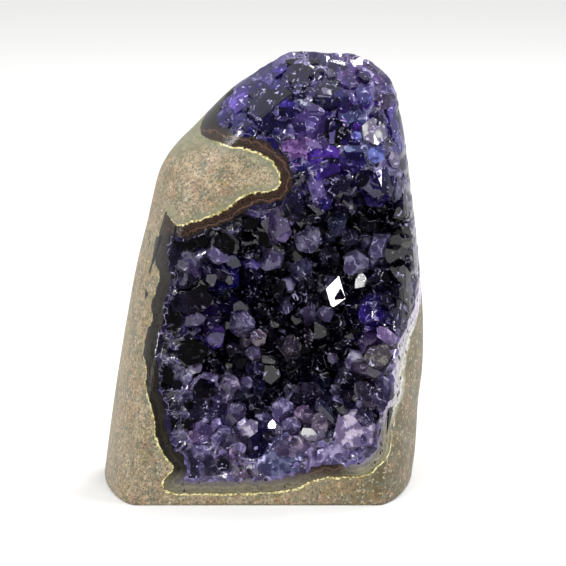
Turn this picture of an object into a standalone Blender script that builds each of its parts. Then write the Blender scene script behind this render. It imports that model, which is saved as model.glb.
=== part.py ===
"""Amethyst cluster: a piece of geode wall, sawn flat below to stand on, its rim ground and polished.

The stone is built from outside to inside, as it grew: the basalt that held the geode, the agate that lined
the hole, the bed of massive amethyst on the agate, and the crystals that stand in the druse on that bed.

Frame: metres, +Z up, the origin at the middle of the sawn base. The druse faces -Y and leans back.
"""

import math

import bmesh
import bpy
import numpy as np
from mathutils import Matrix, Vector, noise

MM = 0.001

# ---- Driving dimensions --------------------------------------------------------------------------
BASE_DEPTH = 59 * MM  # front to back along the sawn base
LEAN = 0.24  # how far the polished front goes back for each metre up
SHOULDER = 75 * MM  # above this height the front rolls back faster
SHOULDER_BEND = 3.2  # per metre: how fast it rolls back there
BACK_BEND = 0.95  # per metre: how fast the rough back comes in with height
MID_LEAN = 0.08  # lean of the widest line, where front and back meet
FRONT_ROUND = 10 * MM  # width over which the polished front rolls into the side
FRONT_POWER = 1.6  # 1 is a straight bevel, 2 a round
BACK_ROUND = 25 * MM
BACK_POWER = 2
BACK_LUMP = 2.2 * MM  # height of the lumps on the broken back
BACK_LUMP_SIZE = 17 * MM
LUMP_BIAS = 0.4  # keeps the lumps inside the back's plain sweep
BASE_CHAMFER = 0.8 * MM

CAVITY_DEPTH = 41 * MM  # from the front plane to the basalt at the bottom of the geode wall
CAVITY_SHALLOWING = 0.25  # the cavity gets this much shallower for each metre up
WALL_RADIUS = 22 * MM  # width over which the cavity's wall curves down to its floor
JOINT = 0.3 * MM  # gap between neighbouring solids
AGATE = 3.2 * MM  # thickness of the agate lining
LEAST_BED = 4.5 * MM  # the amethyst bed is nowhere thinner than this under the druse
DRUSE_DEPTH = 19 * MM  # depth of the open druse at its middle
DRUSE_SLOPE = 17 * MM  # width over which the druse reaches that depth

MIDDLE = (2 * MM, 48 * MM)  # x and z of the point that the rings of the stone's surface close in on
RING_SHARES = (0.3, 0.52, 0.68, 0.79, 0.87, 0.925, 0.965, 0.99)  # ring sizes, closer at the edge
SLAB_STEP = 3.6 * MM  # grid of the layer surfaces
SLAB_REACH = (-52 * MM, 52 * MM, -14 * MM, 126 * MM)  # x from, x to, z from, z to
SLAB_BACK = 60 * MM
PROUD = 6 * MM  # a layer surface stands this far in front of the stone where the layer is missing

# Front view of the whole stone, as (x, z) in millimetres, clockwise from below the left foot.
SILHOUETTE = (
    (-46.2, -30.0), (-44.6, -12.0), (-43.0, 1.0), (-41.4, 13.0), (-39.6, 25.3), (-37.0, 40.7), (-34.1, 56.0),
    (-31.0, 68.3), (-28.3, 79.7), (-26.0, 84.9), (-22.6, 89.3), (-18.6, 93.2), (-14.6, 97.3), (-8.9, 102.8),
    (-2.4, 107.5), (2.3, 110.3), (6.3, 112.4), (10.3, 113.0), (16.0, 112.4), (23.0, 112.2), (28.1, 110.3),
    (32.4, 106.7), (34.5, 103.3), (35.6, 99.0), (36.5, 94.3), (37.5, 88.6), (38.7, 79.0), (40.0, 69.0),
    (41.3, 57.5), (42.4, 43.0), (42.4, 30.0), (41.3, 20.5), (40.9, 13.0), (40.4, 6.0), (39.6, 0.0),
    (38.4, -12.0), (36.5, -30.0),
)  # fmt: skip

# Where the basalt ends and the lining starts on the polished front. The tongue at the upper left is the
# basalt islet that the lining wraps. From the right foot upwards the line leaves the stone.
CAVITY = (
    (-44.0, 100.5), (-25.5, 88.2), (-21.3, 89.4), (-17.9, 90.1), (-13.2, 90.6), (-8.2, 89.6), (-3.5, 88.9),
    (0.2, 87.3), (2.8, 85.1), (4.0, 82.2), (3.0, 79.3), (-1.3, 78.7), (-5.7, 77.4), (-8.7, 75.0),
    (-13.1, 72.9), (-18.3, 71.3), (-21.6, 70.4), (-24.2, 71.8), (-25.7, 74.0), (-26.7, 71.2), (-28.2, 66.0),
    (-28.6, 60.0), (-27.2, 57.0), (-29.1, 50.5), (-28.9, 46.5), (-31.3, 39.5), (-30.3, 33.0), (-30.4, 29.0),
    (-28.7, 24.0), (-27.9, 17.6), (-26.2, 13.6), (-23.1, 9.4), (-24.6, 7.8), (-26.3, 5.5), (-24.0, 3.2),
    (-14.0, 2.9), (-6.1, 2.9), (4.2, 3.3), (10.7, 5.0), (15.8, 6.8), (22.2, 7.0), (27.0, 7.8), (29.6, 10.0),
    (32.1, 12.4), (33.0, 16.8), (34.1, 21.7), (36.8, 27.5), (36.9, 33.0), (38.6, 39.2), (40.2, 41.6),
    (43.5, 44.0), (56.0, 45.0), (80.0, 46.0), (84.0, 100.0), (60.0, 148.0), (0.0, 158.0), (-58.0, 138.0),
)  # fmt: skip

# The open druse: inside this line the crystals were out of the grinder's reach.
DRUSE = (
    (-20.5, 55.0), (-16.5, 62.0), (-9.0, 67.5), (-0.5, 72.5), (6.0, 75.5), (12.5, 79.5), (22.5, 81.5),
    (34.5, 82.0), (43.0, 77.0), (45.0, 60.9), (39.0, 50.0), (34.0, 43.0), (31.5, 32.4), (27.0, 21.5),
    (18.0, 17.0), (9.0, 15.0), (-4.0, 16.5), (-13.5, 20.0), (-19.8, 30.0), (-21.5, 43.3),
)  # fmt: skip

# The large crystals: x and z of the root on the druse in mm, width and height in mm, lean to the right and
# lean upwards of the tip in degrees, and turn about the crystal's own axis in degrees.
CRYSTALS = (
    (19.5, 77.0, 7.5, 8.5, -6, -9, 15),
    (29.0, 77.0, 6.8, 8.0, 6, 2, 50),
    (4.3, 67.4, 5.6, 7.0, -7, 4, 20),
    (12.8, 71.6, 5.2, 7.5, -3, 4, 0),
    (-4.2, 65.5, 6.5, 7.5, -6, -6, 40),
    (19.3, 69.2, 5.3, 7.5, -2, 5, 5),
    (27.3, 69.6, 6.4, 8.5, 2, 0, 35),
    (35.2, 70.0, 6.0, 7.0, 2, 3, 20),
    (11.2, 64.6, 7.0, 8.5, 5, -3, 45),
    (22.6, 64.2, 4.6, 7.0, 5, 5, 10),
    (2.1, 59.3, 7.0, 8.0, -9, 6, 15),
    (10.2, 56.6, 5.5, 7.5, -4, -6, 30),
    (17.2, 59.6, 5.6, 8.0, -3, 3, 50),
    (24.2, 57.6, 6.4, 8.5, 2, -2, 25),
    (32.0, 62.0, 7.5, 8.0, -6, -12, 10),
    (-11.5, 54.7, 8.5, 8.5, 12, 3, 30),
    (-4.3, 49.8, 5.5, 7.5, 3, 4, 5),
    (2.8, 51.0, 6.3, 8.0, 2, -3, 40),
    (9.8, 48.2, 5.6, 7.5, 0, 5, 20),
    (17.8, 51.2, 8.2, 10.0, 10, -8, 35),
    (31.2, 54.0, 6.2, 7.5, -3, 3, 0),
    (36.3, 52.0, 4.8, 5.5, -3, 9, 15),
    (-15.3, 45.3, 7.0, 7.5, 6, 6, 45),
    (-6.4, 42.6, 6.5, 8.5, 5, -2, 10),
    (3.6, 43.0, 5.0, 7.5, -12, 12, 40),
    (21.0, 42.3, 6.5, 8.0, 3, 9, 25),
    (29.3, 46.5, 7.5, 7.5, -12, -3, 5),
    (13.8, 39.8, 6.2, 8.5, -3, -3, 30),
    (28.3, 38.9, 5.5, 6.5, -15, 6, 50),
    (-1.9, 37.0, 4.2, 8.5, 3, 21, 20),
    (6.8, 36.0, 5.3, 7.5, 3, 3, 10),
    (21.5, 35.3, 6.0, 7.0, 6, 9, 40),
    (-7.8, 34.5, 5.0, 7.0, -6, 9, 35),
    (-14.0, 31.5, 6.0, 6.5, 12, 6, 0),
    (-2.1, 29.5, 6.0, 7.5, 3, 6, 25),
    (7.6, 28.9, 6.5, 7.5, -9, 12, 45),
    (15.3, 31.5, 6.0, 7.5, 6, 3, 15),
    (22.5, 28.3, 6.5, 7.0, -12, 12, 5),
    (-9.3, 26.3, 5.5, 6.5, 6, 15, 50),
    (-2.8, 21.8, 6.0, 6.5, -3, 15, 20),
    (4.5, 21.3, 5.5, 6.5, 9, 12, 30),
    (12.3, 24.1, 6.5, 7.0, 0, 15, 10),
    (18.8, 21.5, 5.0, 5.5, -9, 18, 40),
)  # fmt: skip
SOCKET_DEPTH = 2.5 * MM  # how far a crystal's root sits in the bed
TIP_SHARE = 0.55  # the pyramid's share of a crystal's height
MINOR_FACE = 0.55  # how far out the three minor pyramid faces start, against the three major ones

# ---- Colours -------------------------------------------------------------------------------------
BASALT_COLOUR = (0.31, 0.25, 0.19)
AGATE_COLOUR = (0.13, 0.10, 0.09)
BED_COLOUR = (0.13, 0.09, 0.22)
CRYSTAL_COLOUR = (0.10, 0.04, 0.28)


def material(name, colour, roughness):
    """A Principled material of one colour."""
    made = bpy.data.materials.new(name)
    made.use_nodes = True
    shader = made.node_tree.nodes["Principled BSDF"]
    shader.inputs["Base Color"].default_value = (*colour, 1)
    shader.inputs["Roughness"].default_value = roughness
    shader.inputs["Metallic"].default_value = 0
    return made


def rounded_loop(corners, per_span):
    """A closed line in metres through (x, z) corners in mm: a Catmull-Rom curve, per_span points a span."""
    known = np.array(corners, float) * MM
    before, after, beyond = (np.roll(known, shift, axis=0) for shift in (1, -1, -2))
    steps = np.arange(per_span)[:, None, None] / per_span
    curve = 0.5 * (
        2 * known
        + (after - before) * steps
        + (2 * before - 5 * known + 4 * after - beyond) * steps**2
        + (3 * known - before - 3 * after + beyond) * steps**3
    )
    return curve.transpose(1, 0, 2).reshape(-1, 2)


def distance_inside(x, z, loop):
    """Signed distance from each (x, z) to a closed line, positive inside it."""
    place = np.stack([x, z], axis=-1)[..., None, :]
    start = loop
    run = np.roll(loop, -1, axis=0) - start
    along = np.clip(((place - start) * run).sum(-1) / (run**2).sum(-1), 0, 1)
    nearest = np.linalg.norm(place - start - along[..., None] * run, axis=-1).min(-1)
    end_z = start[:, 1] + run[:, 1]
    straddles = (start[:, 1] > place[..., 1]) != (end_z > place[..., 1])
    with np.errstate(divide="ignore", invalid="ignore"):
        crossing = start[:, 0] + (place[..., 1] - start[:, 1]) * run[:, 0] / run[:, 1]
    inside = (straddles & (place[..., 0] < crossing)).sum(-1) % 2 == 1
    return np.where(inside, nearest, -nearest)


def quarter_round(share, power):
    """0 at share 0 with a steep start, 1 and flat from share 1."""
    rest = 1 - np.clip(share, 0, 1)
    return (1 - rest**power) ** (1 / power)


def front_y(z):
    """The plane that the rim was ground to."""
    rolled = np.maximum(z - SHOULDER, 0)
    return -BASE_DEPTH / 2 + LEAN * z + SHOULDER_BEND * rolled**2


def back_y(z):
    """The plain sweep of the broken back, which comes in with height."""
    return BASE_DEPTH / 2 - BACK_BEND * np.maximum(z, 0) ** 2


def cavity_y(x, z, inwards, cavity):
    """Where the surface lies that is inwards from the cavity's wall; outside it, in front of the stone."""
    way_in = distance_inside(x, z, cavity) - inwards
    depth = CAVITY_DEPTH - CAVITY_SHALLOWING * z - inwards
    wall = depth * quarter_round(way_in / WALL_RADIUS, 2)
    return front_y(z) + np.where(way_in > 0, wall, np.maximum(2 * way_in, -PROUD))


def druse_y(x, z, cavity, druse):
    """The floor of the open druse, in front of the stone where the bed was ground flush."""
    share = np.clip(distance_inside(x, z, druse) / DRUSE_SLOPE, -1, 1)
    hollow = DRUSE_DEPTH * np.where(share > 0, 1 - (1 - share) ** 2, 2 * share)
    bed_limit = cavity_y(x, z, AGATE + 2 * JOINT, cavity) - front_y(z) - LEAST_BED
    hollow = np.where(share > 0, np.minimum(hollow, np.maximum(bed_limit, 0)), hollow)
    return front_y(z) + np.maximum(hollow, -PROUD)


def new_object(name, points, faces, colour_of=None):
    """An object from points and faces, with its faces turned outwards."""
    mesh = bpy.data.meshes.new(name)
    mesh.from_pydata([tuple(p) for p in points], [], faces)
    shape = bmesh.new()
    shape.from_mesh(mesh)
    bmesh.ops.recalc_face_normals(shape, faces=shape.faces)
    shape.to_mesh(mesh)
    shape.free()
    made = bpy.data.objects.new(name, mesh)
    bpy.context.scene.collection.objects.link(made)
    if colour_of is not None:
        mesh.materials.append(colour_of)
    return made


def helper(made):
    """Marks an object as a cutter, which isn't part of the stone."""
    made.hide_render = True
    made.display_type = "WIRE"
    return made


def stone_blank(name):
    """The whole stone as one closed solid: the outline, pillowed to the front and the back, sawn at z 0."""
    outline = rounded_loop(SILHOUETTE, 2)
    count = len(outline)
    middle = np.array(MIDDLE)
    points, faces = [], []

    def surface(x, z, front):
        """y of the front or the back over (x, z)."""
        way_in = np.maximum(distance_inside(x, z, outline), 0)
        mid = MID_LEAN * z
        if front:
            return mid + (front_y(z) - mid) * quarter_round(way_in / FRONT_ROUND, FRONT_POWER)
        swell = quarter_round(way_in / BACK_ROUND, BACK_POWER)
        lumps = [noise.noise(Vector((a, 0.02, b)) / BACK_LUMP_SIZE) for a, b in zip(x, z)]
        return mid + (back_y(z) - mid + BACK_LUMP * (np.array(lumps) - LUMP_BIAS)) * swell

    rim = [(x, MID_LEAN * z, z) for x, z in outline]
    points.extend(rim)
    for front in (True, False):
        first = len(points)
        for share in RING_SHARES:
            x, z = (middle + share * (outline - middle)).T
            points.extend(zip(x, surface(x, z, front), z))
        centre = len(points)
        points.append((middle[0], surface(middle[:1], middle[1:], front)[0], middle[1]))
        rings = [first + ring * count for ring in range(len(RING_SHARES))] + [0]
        for i in range(count):
            after = (i + 1) % count
            faces.append((centre, rings[0] + i, rings[0] + after))
            for inner, outer in zip(rings, rings[1:]):
                faces.append((inner + i, outer + i, outer + after, inner + after))
    made = new_object(name, points, faces)
    saw_base(made)
    return made


def saw_base(stone):
    """Cuts the stone flat at z 0 and breaks the sawn edge with a small chamfer."""
    shape = bmesh.new()
    shape.from_mesh(stone.data)
    everything = shape.verts[:] + shape.edges[:] + shape.faces[:]
    cut = bmesh.ops.bisect_plane(
        shape, geom=everything, plane_co=(0, 0, 0), plane_no=(0, 0, 1), clear_inner=True
    )
    edges = [e for e in cut["geom_cut"] if isinstance(e, bmesh.types.BMEdge)]
    base = bmesh.ops.contextual_create(shape, geom=edges)["faces"]
    bmesh.ops.bevel(
        shape,
        geom=list(base[0].edges),
        offset=BASE_CHAMFER,
        segments=1,
        affect="EDGES",
    )
    bmesh.ops.recalc_face_normals(shape, faces=shape.faces)
    shape.to_mesh(stone.data)
    shape.free()


def slab(name, surface):
    """A closed cutter: everything behind the surface y(x, z)."""
    left, right, low, high = SLAB_REACH
    columns = round((right - left) / SLAB_STEP)
    rows = round((high - low) / SLAB_STEP)
    grid_x, grid_z = np.meshgrid(np.linspace(left, right, columns), np.linspace(low, high, rows))
    x, z = grid_x.ravel(), grid_z.ravel()
    points = list(zip(x, surface(x, z), z)) + list(zip(x, np.full(len(x), SLAB_BACK), z))
    faces, behind = [], len(x)
    for row in range(rows - 1):
        for column in range(columns - 1):
            a = row * columns + column
            faces.append((a, a + 1, a + columns + 1))
            faces.append((a, a + columns + 1, a + columns))
    edge = list(range(columns))
    edge += [row * columns + columns - 1 for row in range(1, rows)]
    edge += [(rows - 1) * columns + column for column in range(columns - 2, -1, -1)]
    edge += [row * columns for row in range(rows - 2, 0, -1)]
    for a, b in zip(edge, edge[1:] + edge[:1]):
        faces.append((a, b, b + behind, a + behind))
    faces.append([a + behind for a in edge])
    return helper(new_object(name, points, faces))


def cut(target, tool, operation):
    """Applies one exact Boolean to the target's mesh."""
    modifier = target.modifiers.new(operation.lower(), "BOOLEAN")
    modifier.operation = operation
    modifier.solver = "EXACT"
    modifier.object = tool
    graph = bpy.context.evaluated_depsgraph_get()
    cut_mesh = bpy.data.meshes.new_from_object(target.evaluated_get(graph))
    target.modifiers.remove(modifier)
    target.data = cut_mesh


def largest_piece(target):
    """Keeps the biggest connected piece of the mesh, as slivers come away where two layers nearly meet."""
    shape = bmesh.new()
    shape.from_mesh(target.data)
    left, pieces = set(shape.verts), []
    while left:
        todo, piece = [left.pop()], []
        while todo:
            vertex = todo.pop()
            piece.append(vertex)
            for edge in vertex.link_edges:
                other = edge.other_vert(vertex)
                if other in left:
                    left.remove(other)
                    todo.append(other)
        pieces.append(piece)
    pieces.sort(key=len)
    bmesh.ops.delete(shape, geom=[v for piece in pieces[:-1] for v in piece], context="VERTS")
    shape.to_mesh(target.data)
    shape.free()


def layer(name, blank, colour_of, front, behind=None):
    """The stone behind the surface of front, and in front of the surface of behind if there is one."""
    made = bpy.data.objects.new(name, blank.data.copy())
    bpy.context.scene.collection.objects.link(made)
    cut(made, front, "INTERSECT")
    if behind is not None:
        cut(made, behind, "DIFFERENCE")
    largest_piece(made)
    made.data.materials.clear()
    made.data.materials.append(colour_of)
    return made


def crystal_points(width, height, below, grow):
    """Points of a quartz crystal standing on z 0 with its root below, each face moved out by grow."""
    radius = width / 2 / math.cos(math.pi / 6) + grow
    shoulder = height * (1 - TIP_SHARE)
    drop = height * TIP_SHARE * (1 - MINOR_FACE) * 0.5
    angles = [turn * math.pi / 3 for turn in range(6)]
    corner = [(radius * math.cos(angle), radius * math.sin(angle)) for angle in angles]
    root = [(x, y, -below - grow) for x, y in corner]
    ring = [(x, y, shoulder + (drop if turn % 2 else -drop)) for turn, (x, y) in enumerate(corner)]
    return root + ring + [(0, 0, height + grow)]


def crystal(name, place, lean_right, lean_up, turn, width, height, grow=0.0):
    """One crystal: six prism faces and six pyramid faces, its tip to the viewer and leaning as stated."""
    points = crystal_points(width, height, SOCKET_DEPTH, grow)
    faces = [tuple(range(5, -1, -1))]
    for i in range(6):
        after = (i + 1) % 6
        faces.append((i, after, 6 + after, 6 + i))
        faces.append((6 + i, 6 + after, 12))
    made = new_object(name, points, faces)
    stand = Matrix.Rotation(math.pi / 2 - lean_up, 4, "X") @ Matrix.Rotation(turn, 4, "Z")
    made.matrix_world = Matrix.Translation(place) @ Matrix.Rotation(lean_right, 4, "Z") @ stand
    return made


def clear_scene():
    """Empties the scene."""
    for obj in list(bpy.data.objects):
        bpy.data.objects.remove(obj)


def build():
    """Builds the layers from outside to inside, then each crystal and its socket in the bed."""
    clear_scene()
    cavity = rounded_loop(CAVITY, 3)
    druse = rounded_loop(DRUSE, 3)
    basalt = material("basalt", BASALT_COLOUR, 0.55)
    agate = material("agate", AGATE_COLOUR, 0.2)
    bed_stone = material("massive_amethyst", BED_COLOUR, 0.15)
    amethyst = material("amethyst", CRYSTAL_COLOUR, 0.08)

    blank = helper(stone_blank("blank"))
    inwards = {
        "wall": 0.0,
        "lining_back": JOINT,
        "lining_front": JOINT + AGATE,
        "bed_back": 2 * JOINT + AGATE,
    }
    slabs = {
        name: slab(name, lambda x, z, inset=inset: cavity_y(x, z, inset, cavity))
        for name, inset in inwards.items()
    }
    slabs["druse"] = slab("druse", lambda x, z: druse_y(x, z, cavity, druse))
    layer("basalt_matrix", blank, basalt, slabs["wall"])
    layer("agate_lining", blank, agate, slabs["lining_front"], slabs["lining_back"])
    bed = layer("amethyst_bed", blank, bed_stone, slabs["druse"], slabs["bed_back"])

    for number, (x, z, width, height, right, up, turn) in enumerate(CRYSTALS, 1):
        root_y = float(druse_y(np.array([x * MM]), np.array([z * MM]), cavity, druse)[0])
        pose = (
            Vector((x * MM, root_y, z * MM)),
            math.radians(right),
            math.radians(up),
            math.radians(turn),
            width * MM,
            height * MM,
        )
        made = crystal(f"crystal_{number:02d}", *pose)
        socket = helper(crystal(f"socket_{number:02d}", *pose, grow=JOINT))
        bpy.context.view_layer.update()
        cut(made, blank, "INTERSECT")
        made.data.materials.clear()
        made.data.materials.append(amethyst)
        cut(bed, socket, "DIFFERENCE")
    largest_piece(bed)


build()
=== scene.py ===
"""Looks of the amethyst cluster: a piece of geode wall on a sawn base, with its rim ground and polished.

The stone is dressed from outside to inside: basalt, agate lining, massive amethyst, and the druse of
crystals.
Frame: metres, +Z up, the origin at the middle of the sawn base. The druse faces -Y and leans back.
"""

import logging
import math
from dataclasses import dataclass, field
from enum import Enum
from typing import Any, Callable

import bmesh
import bpy
import numpy as np
from mathutils import Matrix, Vector, noise


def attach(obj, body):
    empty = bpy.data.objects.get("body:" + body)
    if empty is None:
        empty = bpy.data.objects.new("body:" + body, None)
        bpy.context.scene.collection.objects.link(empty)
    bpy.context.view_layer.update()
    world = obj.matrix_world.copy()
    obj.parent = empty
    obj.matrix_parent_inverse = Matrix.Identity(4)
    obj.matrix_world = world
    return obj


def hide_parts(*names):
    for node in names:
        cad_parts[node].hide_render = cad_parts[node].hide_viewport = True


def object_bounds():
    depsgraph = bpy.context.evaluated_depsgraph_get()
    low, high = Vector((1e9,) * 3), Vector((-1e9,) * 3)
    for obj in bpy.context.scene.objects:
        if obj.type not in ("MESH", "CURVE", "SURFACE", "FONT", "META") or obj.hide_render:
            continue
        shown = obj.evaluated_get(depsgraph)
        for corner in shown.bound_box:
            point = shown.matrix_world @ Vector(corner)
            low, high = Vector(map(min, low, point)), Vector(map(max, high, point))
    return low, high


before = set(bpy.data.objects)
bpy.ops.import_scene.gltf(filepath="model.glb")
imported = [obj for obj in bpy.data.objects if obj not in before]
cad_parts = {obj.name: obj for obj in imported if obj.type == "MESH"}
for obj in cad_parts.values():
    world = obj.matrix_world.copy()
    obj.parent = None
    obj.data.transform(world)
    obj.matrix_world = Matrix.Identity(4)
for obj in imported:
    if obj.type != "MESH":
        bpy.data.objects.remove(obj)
CAD_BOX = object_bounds()

logging.basicConfig(level=logging.INFO, format="%(levelname)s %(name)s: %(message)s")
log = logging.getLogger("amethyst_cluster")

MM = 0.001
SEED = 1871

# ---- Outlines, as (x, z) in millimetres ------------------------------------------------------------------
SILHOUETTE = (
    (-46.2, -30.0), (-44.6, -12.0), (-43.0, 1.0), (-41.4, 13.0), (-39.6, 25.3), (-37.0, 40.7),
    (-34.1, 56.0), (-31.0, 68.3), (-28.3, 79.7), (-26.0, 84.9), (-22.6, 89.3), (-18.6, 93.2), (-14.6, 97.3),
    (-8.9, 102.8), (-2.4, 107.5), (2.3, 110.3), (6.3, 112.4), (10.3, 113.0), (16.0, 112.4), (23.0, 112.2),
    (28.1, 110.3), (32.4, 106.7), (34.5, 103.3), (35.6, 99.0), (36.5, 94.3), (37.5, 88.6), (38.7, 79.0),
    (40.0, 69.0), (41.3, 57.5), (42.4, 43.0), (42.4, 30.0), (41.3, 20.5), (40.9, 13.0), (40.4, 6.0),
    (39.6, 0.0), (38.4, -12.0), (36.5, -30.0),
)  # fmt: skip
CAVITY = (
    (-44.0, 100.5), (-25.5, 88.2), (-21.3, 89.4), (-17.9, 90.1), (-13.2, 90.6), (-8.2, 89.6), (-3.5, 88.9),
    (0.2, 87.3), (2.8, 85.1), (4.0, 82.2), (3.0, 79.3), (-1.3, 78.7), (-5.7, 77.4), (-8.7, 75.0),
    (-13.1, 72.9), (-18.3, 71.3), (-21.6, 70.4), (-24.2, 71.8), (-25.7, 74.0), (-26.7, 71.2), (-28.2, 66.0),
    (-28.6, 60.0), (-27.2, 57.0), (-29.1, 50.5), (-28.9, 46.5), (-31.3, 39.5), (-30.3, 33.0), (-30.4, 29.0),
    (-28.7, 24.0), (-27.9, 17.6), (-26.2, 13.6), (-23.1, 9.4), (-24.6, 7.8), (-26.3, 5.5), (-24.0, 3.2),
    (-14.0, 2.9), (-6.1, 2.9), (4.2, 3.3), (10.7, 5.0), (15.8, 6.8), (22.2, 7.0), (27.0, 7.8), (29.6, 10.0),
    (32.1, 12.4), (33.0, 16.8), (34.1, 21.7), (36.8, 27.5), (36.9, 33.0), (38.6, 39.2), (40.2, 41.6),
    (43.5, 44.0), (56.0, 45.0), (80.0, 46.0), (84.0, 100.0), (60.0, 148.0), (0.0, 158.0), (-58.0, 138.0),
)  # fmt: skip
DRUSE = (
    (-20.5, 55.0), (-16.5, 62.0), (-9.0, 67.5), (-0.5, 72.5), (6.0, 75.5), (12.5, 79.5), (22.5, 81.5),
    (34.5, 82.0), (43.0, 77.0), (45.0, 60.9), (39.0, 50.0), (34.0, 43.0), (31.5, 32.4), (27.0, 21.5),
    (18.0, 17.0), (9.0, 15.0), (-4.0, 16.5), (-13.5, 20.0), (-19.8, 30.0), (-21.5, 43.3),
)  # fmt: skip

# The large crystals: x and z of the root in mm, width and height in mm, lean to the right and upwards and
# turn about its own axis in degrees. They number the CAD nodes crystal_01 and on.
LARGE_CRYSTALS = (
    (19.5, 77.0, 7.5, 8.5, -6, -9, 15), (29.0, 77.0, 6.8, 8.0, 6, 2, 50), (4.3, 67.4, 5.6, 7.0, -7, 4, 20),
    (12.8, 71.6, 5.2, 7.5, -3, 4, 0), (-4.2, 65.5, 6.5, 7.5, -6, -6, 40), (19.3, 69.2, 5.3, 7.5, -2, 5, 5),
    (27.3, 69.6, 6.4, 8.5, 2, 0, 35), (35.2, 70.0, 6.0, 7.0, 2, 3, 20), (11.2, 64.6, 7.0, 8.5, 5, -3, 45),
    (22.6, 64.2, 4.6, 7.0, 5, 5, 10), (2.1, 59.3, 7.0, 8.0, -9, 6, 15), (10.2, 56.6, 5.5, 7.5, -4, -6, 30),
    (17.2, 59.6, 5.6, 8.0, -3, 3, 50), (24.2, 57.6, 6.4, 8.5, 2, -2, 25),
    (32.0, 62.0, 7.5, 8.0, -6, -12, 10), (-11.5, 54.7, 8.5, 8.5, 12, 3, 30),
    (-4.3, 49.8, 5.5, 7.5, 3, 4, 5), (2.8, 51.0, 6.3, 8.0, 2, -3, 40), (9.8, 48.2, 5.6, 7.5, 0, 5, 20),
    (17.8, 51.2, 8.2, 10.0, 10, -8, 35), (31.2, 54.0, 6.2, 7.5, -3, 3, 0),
    (36.3, 52.0, 4.8, 5.5, -3, 9, 15), (-15.3, 45.3, 7.0, 7.5, 6, 6, 45), (-6.4, 42.6, 6.5, 8.5, 5, -2, 10),
    (3.6, 43.0, 5.0, 7.5, -12, 12, 40), (21.0, 42.3, 6.5, 8.0, 3, 9, 25),
    (29.3, 46.5, 7.5, 7.5, -12, -3, 5), (13.8, 39.8, 6.2, 8.5, -3, -3, 30),
    (28.3, 38.9, 5.5, 6.5, -15, 6, 50), (-1.9, 37.0, 4.2, 8.5, 3, 21, 20), (6.8, 36.0, 5.3, 7.5, 3, 3, 10),
    (21.5, 35.3, 6.0, 7.0, 6, 9, 40), (-7.8, 34.5, 5.0, 7.0, -6, 9, 35), (-14.0, 31.5, 6.0, 6.5, 12, 6, 0),
    (-2.1, 29.5, 6.0, 7.5, 3, 6, 25), (7.6, 28.9, 6.5, 7.5, -9, 12, 45), (15.3, 31.5, 6.0, 7.5, 6, 3, 15),
    (22.5, 28.3, 6.5, 7.0, -12, 12, 5), (-9.3, 26.3, 5.5, 6.5, 6, 15, 50),
    (-2.8, 21.8, 6.0, 6.5, -3, 15, 20), (4.5, 21.3, 5.5, 6.5, 9, 12, 30), (12.3, 24.1, 6.5, 7.0, 0, 15, 10),
    (18.8, 21.5, 5.0, 5.5, -9, 18, 40),
)  # fmt: skip

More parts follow.
